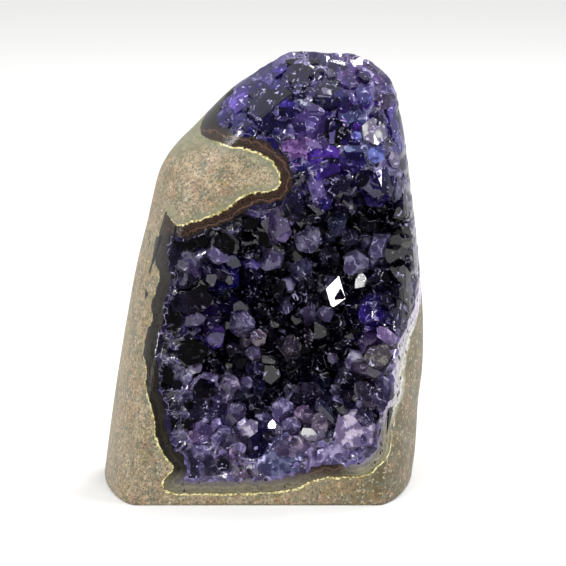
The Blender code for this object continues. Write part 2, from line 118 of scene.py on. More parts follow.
# Patches of colour in the quartz: x, z and radius in mm, colour, and how strongly the patch covers.
# Four pale patches, marked below, are painted highlights: glints of the lamps on facets.
COLOUR_PATCHES = (
    (-2.0, 102.5, 9.0, "#3328A0", 0.8), (4.0, 95.0, 8.0, "#2A2488", 0.7),
    (-13.0, 95.5, 4.5, "#56489A", 0.7), (-8.0, 99.0, 4.5, "#4A3CAC", 0.7),
    # Both patches on the next line are painted highlights, white glints of the lamps.
    (15.9, 103.2, 2.4, "#F2F0FA", 1.0), (11.7, 99.7, 1.5, "#DCD9EE", 0.9),
    (9.9, 92.0, 5.0, "#A890D8", 0.85), (10.7, 92.2, 2.0, "#5A38A0", 0.9), (6.3, 110.8, 3.2, "#CFC8E8", 0.8),
    (13.3, 109.0, 5.0, "#0E0918", 0.9), (25.0, 110.3, 5.5, "#7E4A9A", 0.85),
    (28.1, 100.7, 2.5, "#5E34B0", 0.9), (32.2, 99.4, 2.6, "#76389F", 0.8),
    # The patch at (26.2, 92.0) on the next line is a painted highlight, a white glint.
    (24.2, 96.2, 2.4, "#96A8E0", 0.8), (26.2, 92.0, 2.0, "#D8D8F0", 0.7),
    (18.4, 91.5, 3.6, "#0C0818", 0.95), (27.0, 87.8, 2.8, "#A2AEE2", 0.8),
    (32.6, 85.3, 2.8, "#C4B8DC", 0.8), (13.8, 79.3, 2.6, "#9A86D0", 0.85),
    (19.7, 80.3, 5.0, "#24124A", 0.85), (28.0, 79.6, 5.0, "#43339A", 0.75),
    (36.2, 81.1, 2.6, "#8F8AA8", 0.8), (3.2, 70.8, 3.8, "#B8A0DC", 0.9), (-14.9, 63.3, 3.8, "#4E4860", 0.6),
    (-10.9, 53.7, 6.0, "#2A2596", 0.9), (-10.9, 49.6, 3.0, "#20208A", 0.7),
    (10.3, 55.0, 2.5, "#8A88B8", 0.8), (18.8, 67.1, 3.2, "#A4A2CE", 0.8), (23.0, 63.4, 2.5, "#8890C0", 0.7),
    (29.6, 69.3, 4.5, "#050308", 0.95), (33.3, 59.5, 3.0, "#6A7298", 0.7),
    (29.7, 56.7, 3.0, "#5A6288", 0.6), (17.5, 48.5, 4.0, "#15101C", 0.7),
    (-15.5, 44.0, 5.0, "#59409A", 0.8), (-1.9, 36.0, 3.4, "#B4B2C4", 0.9), (7.1, 33.3, 2.2, "#E4E2F0", 0.9),
    (7.6, 25.7, 1.7, "#E6E0F2", 0.9), (-5.1, 32.4, 2.6, "#8F80B8", 0.7), (-2.4, 27.2, 3.0, "#6A60B0", 0.7),
    (-11.0, 28.1, 2.2, "#C4BCDC", 0.9), (-11.7, 24.1, 3.6, "#A79CC8", 0.85),
    (-9.3, 20.5, 4.0, "#8F84B4", 0.85), (-6.2, 21.3, 1.7, "#E8E4F4", 0.8), (4.5, 20.2, 2.6, "#8F86C4", 0.7),
    (10.3, 23.0, 2.8, "#7D78B4", 0.7), (15.0, 23.3, 2.8, "#8A84B8", 0.7), (21.7, 23.4, 2.8, "#76709C", 0.7),
    (30.1, 45.3, 5.0, "#4A34A0", 0.9), (29.0, 38.0, 4.0, "#5E4488", 0.85),
    # The patch at (19.6, 33.2) on the next line is a painted highlight, pale flashes off facets.
    (22.9, 31.0, 2.6, "#6C6A78", 0.7), (19.6, 33.2, 2.0, "#A09CC0", 0.7), (23.1, 25.8, 2.2, "#9A94B4", 0.6),
    (-6.0, 15.2, 2.4, "#E4DCF0", 0.85), (-0.4, 16.2, 3.6, "#2C2480", 0.85),
    (11.1, 13.3, 5.0, "#CDB4D8", 0.85), (-3.4, 7.7, 3.2, "#CDB8C8", 0.8),
    (-21.2, 17.4, 1.6, "#E8E4EC", 0.9), (-21.3, 26.7, 2.8, "#A89CC8", 0.8),
    (-21.5, 32.2, 1.6, "#D8D4E0", 0.9), (-15.3, 16.4, 4.5, "#9A86C0", 0.85),
    (-9.1, 10.9, 3.2, "#C08FB4", 0.85), (-12.7, 6.5, 3.5, "#B8A8B0", 0.7),
    (30.7, 18.9, 3.0, "#D8C4D4", 0.85), (32.0, 25.7, 3.0, "#2A2622", 0.8),
    (32.6, 37.2, 3.4, "#B4B0A8", 0.8), (-17.5, 58.5, 3.0, "#62568E", 0.6),
    (-20.0, 47.5, 2.4, "#6A6098", 0.6), (-6.0, 60.5, 3.0, "#5C5290", 0.6),
    (-18.5, 38.5, 3.0, "#5A4E8C", 0.7), (-13.2, 60.2, 1.2, "#E4E0F0", 0.9),
    (-16.8, 51.0, 1.1, "#D4D0E6", 0.9), (-7.6, 46.6, 1.1, "#DCD8EC", 0.9),
    (-19.0, 42.0, 1.0, "#D8D4E8", 0.9), (22.0, 104.5, 3.0, "#8E6CC0", 0.8),
    (30.0, 105.0, 2.2, "#B49AD8", 0.8), (-1.0, 84.0, 2.4, "#C8C0E4", 0.8),
    (23.5, 72.5, 1.3, "#E0DEF0", 0.9), (34.5, 76.5, 1.6, "#C0BCE0", 0.8),
)  # fmt: skip


class Side(Enum):
    """Which surface of the stone is meant."""

    FRONT = "front"
    BACK = "back"


class Slot(Enum):
    """The record's material slots."""

    BASALT = "basalt"
    AGATE = "agate"
    MASSIVE = "massive_amethyst"
    CRYSTAL = "amethyst"


# ---- Small tools -----------------------------------------------------------------------------------------
def linear(hex_colour: str) -> tuple[float, float, float]:
    """Turns an sRGB hex colour to linear light.

    Args:
        hex_colour: Colour as "#RRGGBB".

    Returns:
        Red, green and blue, each from 0 to 1.
    """
    parts = [int(hex_colour[i : i + 2], 16) / 255 for i in (1, 3, 5)]
    return tuple(p / 12.92 if p <= 0.04045 else ((p + 0.055) / 1.055) ** 2.4 for p in parts)


def rgba(hex_colour: str) -> tuple[float, float, float, float]:
    """An sRGB hex colour as linear light with alpha 1."""
    return (*linear(hex_colour), 1.0)


MIX_FACTOR, MIX_A, MIX_B, MIX_OUT = 0, 6, 7, 2  # places of a colour mix's sockets


def add_node(tree: bpy.types.NodeTree, kind: str, inputs: dict[Any, Any], **settings: Any) -> bpy.types.Node:
    """Adds a shader node with its settings and links.

    Args:
        tree: Node tree that gets the node.
        kind: Node type without its "ShaderNode" prefix.
        inputs: Value or source socket for each input, by name or by place in the list.
        **settings: Properties of the node; stops is a list of (position, hex colour) for a ramp.

    Returns:
        The new node.
    """
    node = tree.nodes.new("ShaderNode" + kind)
    stops = settings.pop("stops", ())
    for key, value in settings.items():
        setattr(node, key, value)
    for _ in stops[2:]:
        node.color_ramp.elements.new(1.0)
    for place, (position, colour) in enumerate(stops):
        node.color_ramp.elements[place].position = position
        node.color_ramp.elements[place].color = rgba(colour)
    for key, value in inputs.items():
        socket = node.inputs[key]
        if isinstance(value, bpy.types.NodeSocket):
            tree.links.new(value, socket)
        else:
            socket.default_value = rgba(value) if isinstance(value, str) else value
    return node


def product(tree: bpy.types.NodeTree, first: Any, *others: Any) -> bpy.types.NodeSocket:
    """Multiplies.

    Args:
        tree: Node tree to add to.
        first: Number or socket.
        *others: More numbers or sockets.

    Returns:
        The product's socket.
    """
    for other in others:
        first = add_node(tree, "Math", {0: first, 1: other}, operation="MULTIPLY").outputs[0]
    return first


def scaled(tree: bpy.types.NodeTree, value: Any, factor: Any, added: Any) -> bpy.types.NodeSocket:
    """Works out value times factor plus added, each a number or a socket."""
    inputs = {0: value, 1: factor, 2: added}
    return add_node(tree, "Math", inputs, operation="MULTIPLY_ADD").outputs[0]


def shown(
    tree: bpy.types.NodeTree, pattern: bpy.types.NodeSocket, low: float, high: float, *limits: Any
) -> bpy.types.NodeSocket:
    """Finds how much of a layer shows, from the pattern that it follows.

    Args:
        tree: Node tree to add to.
        pattern: The pattern's socket.
        low: Pattern value where nothing of the layer shows; it may be the higher of the two.
        high: Pattern value where the layer is full.
        *limits: Numbers and sockets that the share is multiplied by.

    Returns:
        The socket of the share, which changes softly between the two.
    """
    inputs = {"Value": pattern, "From Min": low, "From Max": high}
    share = add_node(tree, "MapRange", inputs, interpolation_type="SMOOTHSTEP").outputs["Result"]
    return product(tree, share, *limits)


def layered(tree: bpy.types.NodeTree, colour: Any, *layers: tuple) -> bpy.types.NodeSocket:
    """Lays colours over a colour.

    Args:
        tree: Node tree to add to.
        colour: Socket or hex colour underneath.
        *layers: For each: how much of it shows, its colour, and how it blends where that isn't "MIX".

    Returns:
        The socket of the colour on top.
    """
    for share, over, *blend in layers:
        inputs = {MIX_FACTOR: share, MIX_A: colour, MIX_B: over}
        blend_type = blend[0] if blend else "MIX"
        colour = add_node(tree, "Mix", inputs, data_type="RGBA", blend_type=blend_type).outputs[MIX_OUT]
    return colour


def marks(tree: bpy.types.NodeTree, *names: str) -> list[bpy.types.NodeSocket]:
    """Reads numbers that were marked on the mesh under names."""
    return [add_node(tree, "Attribute", {}, attribute_name=name).outputs["Fac"] for name in names]


def clouds(
    tree: bpy.types.NodeTree,
    place: Any,
    scale: float,
    detail: float,
    roughness: float = 0.5,
    swirl: float = 0.0,
) -> tuple[bpy.types.NodeSocket, ...]:
    """Makes a cloudy pattern.

    Args:
        tree: Node tree to add to.
        place: Socket of the place.
        scale: How many clouds there are along one unit of place.
        detail: How many finer patterns there are on it.
        roughness: How strong the finer patterns are.
        swirl: How far the pattern is bent.

    Returns:
        Three values that vary apart from each other, then all three as a vector.
    """
    inputs = {"Vector": place, "Scale": scale, "Detail": detail, "Roughness": roughness, "Distortion": swirl}
    found = add_node(tree, "TexNoise", inputs).outputs["Color"]
    return (*add_node(tree, "SeparateColor", {"Color": found}).outputs, found)


def cells(tree: bpy.types.NodeTree, place: Any, scale: float, **settings: str) -> tuple[Any, ...]:
    """Makes a pattern of cells.

    Args:
        tree: Node tree to add to.
        place: Socket of the place.
        scale: How many cells there are along one unit of place.
        **settings: The pattern's other properties.

    Returns:
        Three values of each cell, the distance to its middle, then the three as a vector.
    """
    found = add_node(tree, "TexVoronoi", {"Vector": place, "Scale": scale}, **settings).outputs
    values = add_node(tree, "SeparateColor", {"Color": found["Color"]}).outputs
    return (*values, found["Distance"], found["Color"])


def borders(tree: bpy.types.NodeTree, place: Any, scale: float) -> bpy.types.NodeSocket:
    """Measures how far a place is from the border of the cell that cells() makes round it."""
    inputs = {"Vector": place, "Scale": scale}
    return add_node(tree, "TexVoronoi", inputs, feature="DISTANCE_TO_EDGE").outputs["Distance"]


def per_mm(size_mm: float) -> float:
    """Texture scale at which one period of a pattern is size_mm long, for coordinates in metres."""
    return 1000.0 / size_mm


def rounded_loop(corners: tuple, per_span: int) -> np.ndarray:
    """Draws a smooth closed line through corners.

    Args:
        corners: (x, z) corners in mm.
        per_span: Points along each span between two corners.

    Returns:
        Points in metres, one per row.
    """
    known = np.array(corners, float) * MM
    before, after, beyond = (np.roll(known, shift, axis=0) for shift in (1, -1, -2))
    steps = np.arange(per_span)[:, None, None] / per_span
    curve = 0.5 * (
        2 * known
        + (after - before) * steps
        + (2 * before - 5 * known + 4 * after - beyond) * steps**2
        + (3 * known - before - 3 * after + beyond) * steps**3
    )
    return curve.transpose(1, 0, 2).reshape(-1, 2)


def distance_inside(x: np.ndarray, z: np.ndarray, loop: np.ndarray) -> np.ndarray:
    """Measures how far points lie inside a closed line.

    Args:
        x: Points' x in metres.
        z: Points' z in metres.
        loop: Closed line, one (x, z) point per row.

    Returns:
        Signed distances in metres, positive inside.
    """
    run = np.roll(loop, -1, axis=0) - loop
    length = (run**2).sum(-1)
    found = np.empty(len(x))
    for first in range(0, len(x), 8192):
        part = slice(first, first + 8192)
        away_x = x[part, None] - loop[:, 0]
        away_z = z[part, None] - loop[:, 1]
        along = np.clip((away_x * run[:, 0] + away_z * run[:, 1]) / length, 0, 1)
        nearest = np.hypot(away_x - along * run[:, 0], away_z - along * run[:, 1]).min(-1)
        straddles = (away_z < 0) != (away_z < run[:, 1])
        with np.errstate(divide="ignore", invalid="ignore"):
            crossing = away_x < away_z * run[:, 0] / run[:, 1]
        inside = (straddles & crossing).sum(-1) % 2 == 1
        found[part] = np.where(inside, nearest, -nearest)
    return found


def quarter_round(share: np.ndarray, power: float) -> np.ndarray:
    """0 at share 0 with a steep start, 1 and flat from share 1."""
    rest = 1 - np.clip(share, 0, 1)
    return (1 - rest**power) ** (1 / power)


def ramp(lengths: np.ndarray, start_mm: float, full_mm: float) -> np.ndarray:
    """0 up to start_mm and 1 from full_mm on, for lengths in metres; full_mm may be the lower one."""
    return np.clip((lengths / MM - start_mm) / (full_mm - start_mm), 0, 1)


def smooth_noise(points: np.ndarray, size: float, seed: float) -> np.ndarray:
    """Samples a smooth noise.

    Args:
        points: Points in metres, one per row.
        size: Size of a lump in metres.
        seed: Offset that picks another noise.

    Returns:
        A value from about -1 to 1 for each point.
    """
    return np.array([noise.noise(Vector(p) / size + Vector((seed, seed, seed))) for p in points])


def mesh_points(piece: bpy.types.Object) -> np.ndarray:
    """The piece's vertices in metres, one per row.

    Args:
        piece: Mesh object.

    Returns:
        The points, one per row.
    """
    flat = np.empty(len(piece.data.vertices) * 3)
    piece.data.vertices.foreach_get("co", flat)
    return flat.reshape(-1, 3)


def set_points(piece: bpy.types.Object, points: np.ndarray) -> None:
    """Moves the piece's vertices to points."""
    piece.data.vertices.foreach_set("co", points.ravel())
    piece.data.update()


def mark(piece: bpy.types.Object, name: str, values: np.ndarray) -> None:
    """Stores a number, or a colour of four numbers, on each vertex of the piece.

    Args:
        piece: Mesh object.
        name: Attribute name that the material reads.
        values: One row for each vertex.
    """
    values = values.astype(np.float32)
    if values.ndim == 1:
        piece.data.attributes.new(name, "FLOAT", "POINT").data.foreach_set("value", values)
        return
    kind, key = ("FLOAT_COLOR", "color") if values.shape[1] == 4 else ("FLOAT_VECTOR", "vector")
    piece.data.attributes.new(name, kind, "POINT").data.foreach_set(key, values.ravel())


def new_object(name: str, points: Any, faces: Any) -> bpy.types.Object:
    """Makes an object from points and faces.

    Args:
        name: Name of the object.
        points: Vertices in metres.
        faces: Vertex numbers of each face.

    Returns:
        The object, in the scene.
    """
    mesh = bpy.data.meshes.new(name)
    mesh.from_pydata([tuple(p) for p in points], [], [tuple(f) for f in faces])
    made = bpy.data.objects.new(name, mesh)
    bpy.context.scene.collection.objects.link(made)
    return made


def face_outwards(shape: bpy.types.Object) -> None:
    """Turns the faces of a closed mesh outwards.

    Args:
        shape: Mesh object.
    """
    work = bmesh.new()
    work.from_mesh(shape.data)
    bmesh.ops.recalc_face_normals(work, faces=work.faces)
    work.to_mesh(shape.data)
    work.free()


def carve(target: bpy.types.Object, tool: bpy.types.Object, operation: str) -> None:
    """Applies one Boolean to the target's mesh.

    Args:
        target: Object that is cut.
        tool: Closed cutter.
        operation: INTERSECT or DIFFERENCE.
    """
    modifier = target.modifiers.new("carve", "BOOLEAN")
    modifier.operation = operation
    modifier.solver = "MANIFOLD"
    modifier.object = tool
    graph = bpy.context.evaluated_depsgraph_get()
    carved = bpy.data.meshes.new_from_object(target.evaluated_get(graph))
    target.modifiers.remove(modifier)
    target.data = carved


def drop_crumbs(piece: bpy.types.Object, least: int) -> None:
    """Removes connected bits of fewer than least vertices, which come away where two layers nearly meet.

    Args:
        piece: Mesh object.
        least: Fewest vertices of a part that stays.
    """
    work = bmesh.new()
    work.from_mesh(piece.data)
    left = set(work.verts)
    crumbs = []
    while left:
        todo, bit = [left.pop()], []
        while todo:
            vertex = todo.pop()
            bit.append(vertex)
            for edge in vertex.link_edges:
                other = edge.other_vert(vertex)
                if other in left:
                    left.remove(other)
                    todo.append(other)
        if len(bit) < least:
            crumbs.extend(bit)
    bmesh.ops.delete(work, geom=crumbs, context="VERTS")
    work.to_mesh(piece.data)
    work.free()


# ---- The stone's shape -----------------------------------------------------------------------------------
@dataclass(frozen=True)
class StoneShape:
    """Surfaces of the stone and of the layers in it, as y over (x, z). Lengths are in metres."""

    base_depth: float = 59 * MM
    lean: float = 0.24
    shoulder: float = 75 * MM
    shoulder_bend: float = 3.2
    back_bend: float = 0.95
    mid_lean: float = 0.08
    front_round: float = 10 * MM
    front_power: float = 1.6
    back_round: float = 25 * MM
    back_lump: float = 2.2 * MM
    back_lump_size: float = 17 * MM
    edge_break: float = 0.8 * MM
    cavity_depth: float = 41 * MM
    cavity_shallowing: float = 0.25
    wall_radius: float = 22 * MM
    lining: float = 3.5 * MM
    least_bed: float = 4.5 * MM
    druse_depth: float = 19 * MM
    druse_slope: float = 17 * MM
    proud: float = 6 * MM
    outline: np.ndarray = field(default_factory=lambda: rounded_loop(SILHOUETTE, 9))
    cavity: np.ndarray = field(default_factory=lambda: rounded_loop(CAVITY, 4))
    druse: np.ndarray = field(default_factory=lambda: rounded_loop(DRUSE, 4))

    def plane_y(self, z: np.ndarray) -> np.ndarray:
        """The plane that the rim was ground to, in metres, at height z."""
        bend = self.shoulder_bend * np.maximum(z - self.shoulder, 0) ** 2
        return -self.base_depth / 2 + self.lean * z + bend

    def skin_y(self, x: np.ndarray, z: np.ndarray, side: Side) -> np.ndarray:
        """Finds the outer surface.

        Args:
            x: Points' x in metres.
            z: Points' z in metres.
            side: Front or back.

        Returns:
            y of the surface over each point.
        """
        way_in = np.maximum(distance_inside(x, z, self.outline), 0)
        mid = self.mid_lean * z
        if side is Side.FRONT:
            return mid + (self.plane_y(z) - mid) * quarter_round(way_in / self.front_round, self.front_power)
        back = self.base_depth / 2 - self.back_bend * np.maximum(z, 0) ** 2
        swell = quarter_round(way_in / self.back_round, 2)
        ground = np.stack([x, np.full(len(x), 0.02 * self.back_lump_size), z], axis=-1)
        lumps = smooth_noise(ground, self.back_lump_size, 0.0)
        return mid + (back - mid + self.back_lump * (lumps - 0.4)) * swell

    def way_into_cavity(self, x: np.ndarray, z: np.ndarray) -> np.ndarray:
        """Distance inwards from the basalt's edge, with the fine raggedness of a grown contact.

        Args:
            x: Points' x in metres.
            z: Points' z in metres.

        Returns:
            Distances in metres.
        """
        flat = np.stack([x, np.zeros(len(x)), z], axis=-1)
        coarse = 0.38 * MM * smooth_noise(flat, 2.6 * MM, 3.7)
        fine = 0.16 * MM * smooth_noise(flat, 0.9 * MM, 9.1)
        return distance_inside(x, z, self.cavity) + (coarse + fine)

    def cavity_y(self, x: np.ndarray, z: np.ndarray, inwards: float) -> np.ndarray:
        """Finds a layer's surface.

        Args:
            x: Points' x in metres.
            z: Points' z in metres.
            inwards: Distance from the cavity's wall in metres.

        Returns:
            y of the surface, in front of the stone outside the cavity.
        """
        flat = np.stack([x, np.zeros(len(x)), z], axis=-1)
        fuzz = min(inwards / self.lining, 1.0) * 1.1 * MM
        way_in = self.way_into_cavity(x, z) - inwards + fuzz * smooth_noise(flat, 2.0 * MM, 12.9)
        depth = self.cavity_depth - self.cavity_shallowing * z - inwards
        wall = depth * quarter_round(way_in / self.wall_radius, 2)
        return self.plane_y(z) + np.where(way_in > 0, wall, np.maximum(2 * way_in, -self.proud))

    def hollow(self, x: np.ndarray, z: np.ndarray) -> np.ndarray:
        """Depth of the open druse below the ground plane, negative outside it.

        Args:
            x: Points' x in metres.
            z: Points' z in metres.

        Returns:
            Depths in metres.
        """
        share = np.clip(distance_inside(x, z, self.druse) / self.druse_slope, -1, 1)
        sunk = self.druse_depth * np.where(share > 0, 1 - (1 - share) ** 2, 2 * share)
        way_in = distance_inside(x, z, self.cavity) - self.lining
        wall = (self.cavity_depth - self.cavity_shallowing * z) * quarter_round(way_in / self.wall_radius, 2)
        limited = np.minimum(sunk, np.maximum(wall - self.least_bed, 0))
        return np.maximum(np.where(share > 0, limited, sunk), -self.proud)

    def druse_y(self, x: np.ndarray, z: np.ndarray) -> np.ndarray:
        """The floor of the open druse, in front of the stone where the bed was ground flush."""
        return self.plane_y(z) + self.hollow(x, z)

    def tangent(self, surface: Callable, x: float, z: float) -> tuple[Vector, Vector]:
        """Finds the plane that touches a surface.

        Args:
            surface: Function of x and z arrays that gives y.
            x: Place in metres.
            z: Place in metres.

        Returns:
            Point on the surface, and unit normal towards the front.
        """
        step = 0.4 * MM
        place_x = np.array([x, x + step, x - step, x, x])
        place_z = np.array([z, z, z, z + step, z - step])
        y = surface(place_x, place_z)
        normal = Vector((float(y[1] - y[2]), -2 * step, float(y[3] - y[4])))
        return Vector((x, float(y[0]), z)), normal.normalized()


@dataclass
class StoneBlank:
    """The whole stone as one closed fine mesh: outline pillowed to the front and the back, sawn at z 0."""

    shape: StoneShape
    rings: int = 84
    pit_size: float = 2.4 * MM
    back_depths_mm: tuple[float, float, float, float] = (3.2, 1.7, 1.8, 0.25)
    crag_size: float = 6.5 * MM

    def build(self) -> bpy.types.Object:
        """Builds the blank.

        Returns:
            The closed mesh object.
        """
        outline = self.shape.outline
        count = len(outline)
        middle = np.array([2 * MM, 48 * MM])
        shares = 1 - (1 - np.linspace(0, 1, self.rings + 1)[1:-1]) ** 1.7
        points = [np.stack([outline[:, 0], self.shape.mid_lean * outline[:, 1], outline[:, 1]], axis=-1)]
        faces: list[tuple[int, ...]] = []
        for side in (Side.FRONT, Side.BACK):
            first = sum(len(p) for p in points)
            spots = middle + shares[:, None, None] * (outline - middle)
            x, z = np.append(spots.reshape(-1, 2), [middle], axis=0).T
            points.append(np.stack([x, self.shape.skin_y(x, z, side), z], axis=-1))
            rings = [first + ring * count for ring in range(len(shares))] + [0]
            centre = first + len(shares) * count
            for i in range(count):
                after = (i + 1) % count
                flip = side is Side.BACK
                face = (centre, rings[0] + i, rings[0] + after)
                faces.append(face[::-1] if flip else face)
                for inner, outer in zip(rings, rings[1:]):
                    face = (inner + i, outer + i, outer + after, inner + after)
                    faces.append(face[::-1] if flip else face)
        made = new_object("stone_blank", np.concatenate(points), faces)
        face_outwards(made)
        self.saw(made)
        self.roughen(made)
        self.keep_in_box(made)
        return made

    def saw(self, stone: bpy.types.Object) -> None:
        """Cuts the stone flat at z 0 and breaks the sawn edge.

        Args:
            stone: The stone's mesh object.
        """
        work = bmesh.new()
        work.from_mesh(stone.data)
        for height in (1.0, 0.45, 0.15, 0.0):
            geometry = work.verts[:] + work.edges[:] + work.faces[:]
            level = (0, 0, height * self.shape.edge_break)
            bmesh.ops.bisect_plane(
                work, geom=geometry, plane_co=level, plane_no=(0, 0, 1), clear_inner=height == 0
            )
        bmesh.ops.remove_doubles(work, verts=work.verts, dist=2e-3 * MM)
        edges = [e for e in work.edges if e.is_boundary]
        base = bmesh.ops.contextual_create(work, geom=edges)["faces"]
        bmesh.ops.recalc_face_normals(work, faces=work.faces)
        radius = self.shape.edge_break
        for vertex in work.verts:
            rise = vertex.co.z / radius
            if rise < 1:
                out = Vector((vertex.co.x, vertex.co.y * 1.6, 0)).normalized()
                vertex.co -= out * radius * (1 - math.sqrt(1 - (1 - max(rise, 0)) ** 2)) * 0.9
        bmesh.ops.triangulate(work, faces=base)
        work.to_mesh(stone.data)
        work.free()

    def roughen(self, stone: bpy.types.Object) -> None:
        """Gives the broken back its crags and pits, which only ever go into the stone.

        Args:
            stone: The stone's mesh object.
        """
        points = mesh_points(stone)
        x, y, z = points.T
        behind = np.clip((y - self.shape.mid_lean * z) / (7 * MM), 0, 1)
        above_base = np.clip(z / (2.5 * MM), 0, 1)
        warped = points + 2.5 * MM * smooth_noise(points, self.crag_size, 4.4)[:, None]
        breaks = np.abs(smooth_noise(warped, 2.4 * self.crag_size, 7.1))
        crags = np.abs(smooth_noise(warped, self.crag_size, 5.3))
        pits = np.maximum(smooth_noise(points, self.pit_size, 8.9) - 0.25, 0)
        grain = 0.5 + 0.5 * smooth_noise(points, 1.1 * MM, 2.2)
        broken, cragged, pitted, grained = self.back_depths_mm
        depth = broken * breaks + cragged * crags + pitted * pits + grained * grain
        depth = depth * MM * behind * above_base
        stone.data.update()
        normals = np.array([v.normal for v in stone.data.vertices])
        set_points(stone, points - normals * depth[:, None])

    def keep_in_box(self, stone: bpy.types.Object) -> None:
        """Holds every vertex inside the CAD box."""
        low, high = (np.array(corner) for corner in CAD_BOX)
        set_points(stone, np.clip(mesh_points(stone), low, high))


@dataclass
class Slab:
    """A closed cutter: everything behind a surface y(x, z)."""

    name: str
    surface: Callable
    step: float = 0.55 * MM
    reach: tuple[float, float, float, float] = (-48 * MM, 48 * MM, -3 * MM, 118 * MM)
    back: float = 45 * MM

    def build(self) -> bpy.types.Object:
        """Builds the cutter from a fine grid.

        Returns:
            The cutter, hidden from the render.
        """
        left, right, low, high = self.reach
        columns, rows = round((right - left) / self.step), round((high - low) / self.step)
        grid_x, grid_z = np.meshgrid(np.linspace(left, right, columns), np.linspace(low, high, rows))
        x, z = grid_x.ravel(), grid_z.ravel()
        front = np.stack([x, self.surface(x, z), z], axis=-1)
        edge = list(range(columns))
        edge += [row * columns + columns - 1 for row in range(1, rows)]
        edge += [(rows - 1) * columns + column for column in range(columns - 2, -1, -1)]
        edge += [row * columns for row in range(rows - 2, 0, -1)]
        behind = front[edge].copy()
        behind[:, 1] = self.back
        start = np.arange(rows * columns).reshape(rows, columns)[:-1, :-1].ravel()
        quads = np.stack([start, start + 1, start + columns + 1, start + columns], axis=-1)
        faces = np.concatenate([quads[:, [0, 1, 2]], quads[:, [0, 2, 3]]]).tolist()
        count = len(front)
        ring = list(range(count, count + len(edge)))
        for i, (a, b) in enumerate(zip(edge, edge[1:] + edge[:1])):
            faces.append((a, ring[i], ring[(i + 1) % len(ring)], b))
        faces.append(ring)
        made = new_object(self.name, np.concatenate([front, behind]), faces)
        face_outwards(made)
        made.hide_render = True
        return made


# ---- Colour of the quartz --------------------------------------------------------------------------------
@dataclass(frozen=True)
class QuartzColour:
    """How the violet changes from place to place: deep in the druse, bluer and brighter in the top."""

    deep: str = "#160C2C"
    top: str = "#3F2C94"
    margin: str = "#BEB2DA"
    contact: str = "#0E0A12"

    def at(self, x: np.ndarray, z: np.ndarray, shape: StoneShape) -> np.ndarray:
        """Finds the quartz's colour.

        Args:
            x: Points' x in metres.
            z: Points' z in metres.
            shape: The stone's surfaces.

        Returns:
            Linear colour for each point, with how freely pale veils show as the fourth number.
        """
        upwards = ramp(z, 74, 88)[:, None]
        colour = np.array(linear(self.deep)) * (1 - upwards) + np.array(linear(self.top)) * upwards
        wall = distance_inside(x, z, shape.cavity) - shape.lining
        low = ramp(z, 21, 12)
        right = ramp(x, 24, 30) * ramp(z, 46, 41)
        milky = (0.75 * np.maximum(low, right * ramp(wall, 5, 0)))[:, None]
        colour = colour * (1 - milky) + np.array(linear(self.margin)) * milky
        # The patches go over the colour; four pale ones are painted highlights.
        for patch_x, patch_z, radius, hex_colour, strength in COLOUR_PATCHES:
            away = np.hypot(x / MM - patch_x, z / MM - patch_z) / radius
            share = (strength * np.clip(1.35 - away, 0, 1) ** 0.7)[:, None]
            colour = colour * (1 - share) + np.array(linear(hex_colour)) * share
        left = ramp(x, -8, -14) * ramp(z, 74, 70)
        reach = (3.2 + 4.0 * left) * MM
        dark = (np.clip(1.25 - wall / reach, 0, 1) * (1 - low) * (1 - right))[:, None]
        dark = dark * (0.5 + 0.5 * (z < 84 * MM))[:, None]
        colour = colour * (1 - dark) + np.array(linear(self.contact)) * dark
        return np.concatenate([colour, 1 - 0.9 * dark], axis=1)


# ---- Finishes --------------------------------------------------------------------------------------------
@dataclass(frozen=True)
class Finish:
    """What every finish shares: its material's name, and a node tree that ends in a Principled shader."""

    name: str = "finish"

    def start(self) -> tuple[bpy.types.Material, bpy.types.NodeTree, bpy.types.Node]:
        """Makes the material.

        Returns:
            The material, its node tree and its Principled shader.
        """
        made = bpy.data.materials.new(self.name)
        made.use_nodes = True
        tree = made.node_tree
        return made, tree, tree.nodes["Principled BSDF"]

    def paint(self, tree: bpy.types.NodeTree) -> tuple[bpy.types.NodeSocket, bpy.types.NodeSocket]:
        """Reads the colour marked on the mesh, and how freely pale veils show in it."""
        found = add_node(tree, "Attribute", {}, attribute_name="tone").outputs
        return found["Color"], found["Alpha"]

    def surface(
        self, tree: bpy.types.NodeTree, shader: bpy.types.Node, colour: Any, roughness: Any, ior: float
    ) -> None:
        """Gives the shader its colour, roughness and refraction.

        Args:
            tree: Node tree to add to.
            shader: The material's Principled shader.
            colour: Socket of the colour.
            roughness: A number or a socket.
            ior: Index of refraction.
        """
        tree.links.new(colour, shader.inputs["Base Color"])
        if isinstance(roughness, float):
            shader.inputs["Roughness"].default_value = roughness
        else:
            tree.links.new(roughness, shader.inputs["Roughness"])
        shader.inputs["IOR"].default_value = ior

    def relief(
        self, tree: bpy.types.NodeTree, shader: bpy.types.Node, height: Any, strength: Any, height_mm: float
    ) -> None:
        """Gives the surface a fine relief.

        Args:
            tree: Node tree to add to.
            shader: The material's Principled shader.
            height: Socket of the relief's height.
            strength: How much of it shows, a number or a socket.
            height_mm: How high a height of 1 is.
        """
        inputs = {"Height": height, "Strength": strength, "Distance": height_mm * MM}
        tree.links.new(add_node(tree, "Bump", inputs).outputs["Normal"], shader.inputs["Normal"])


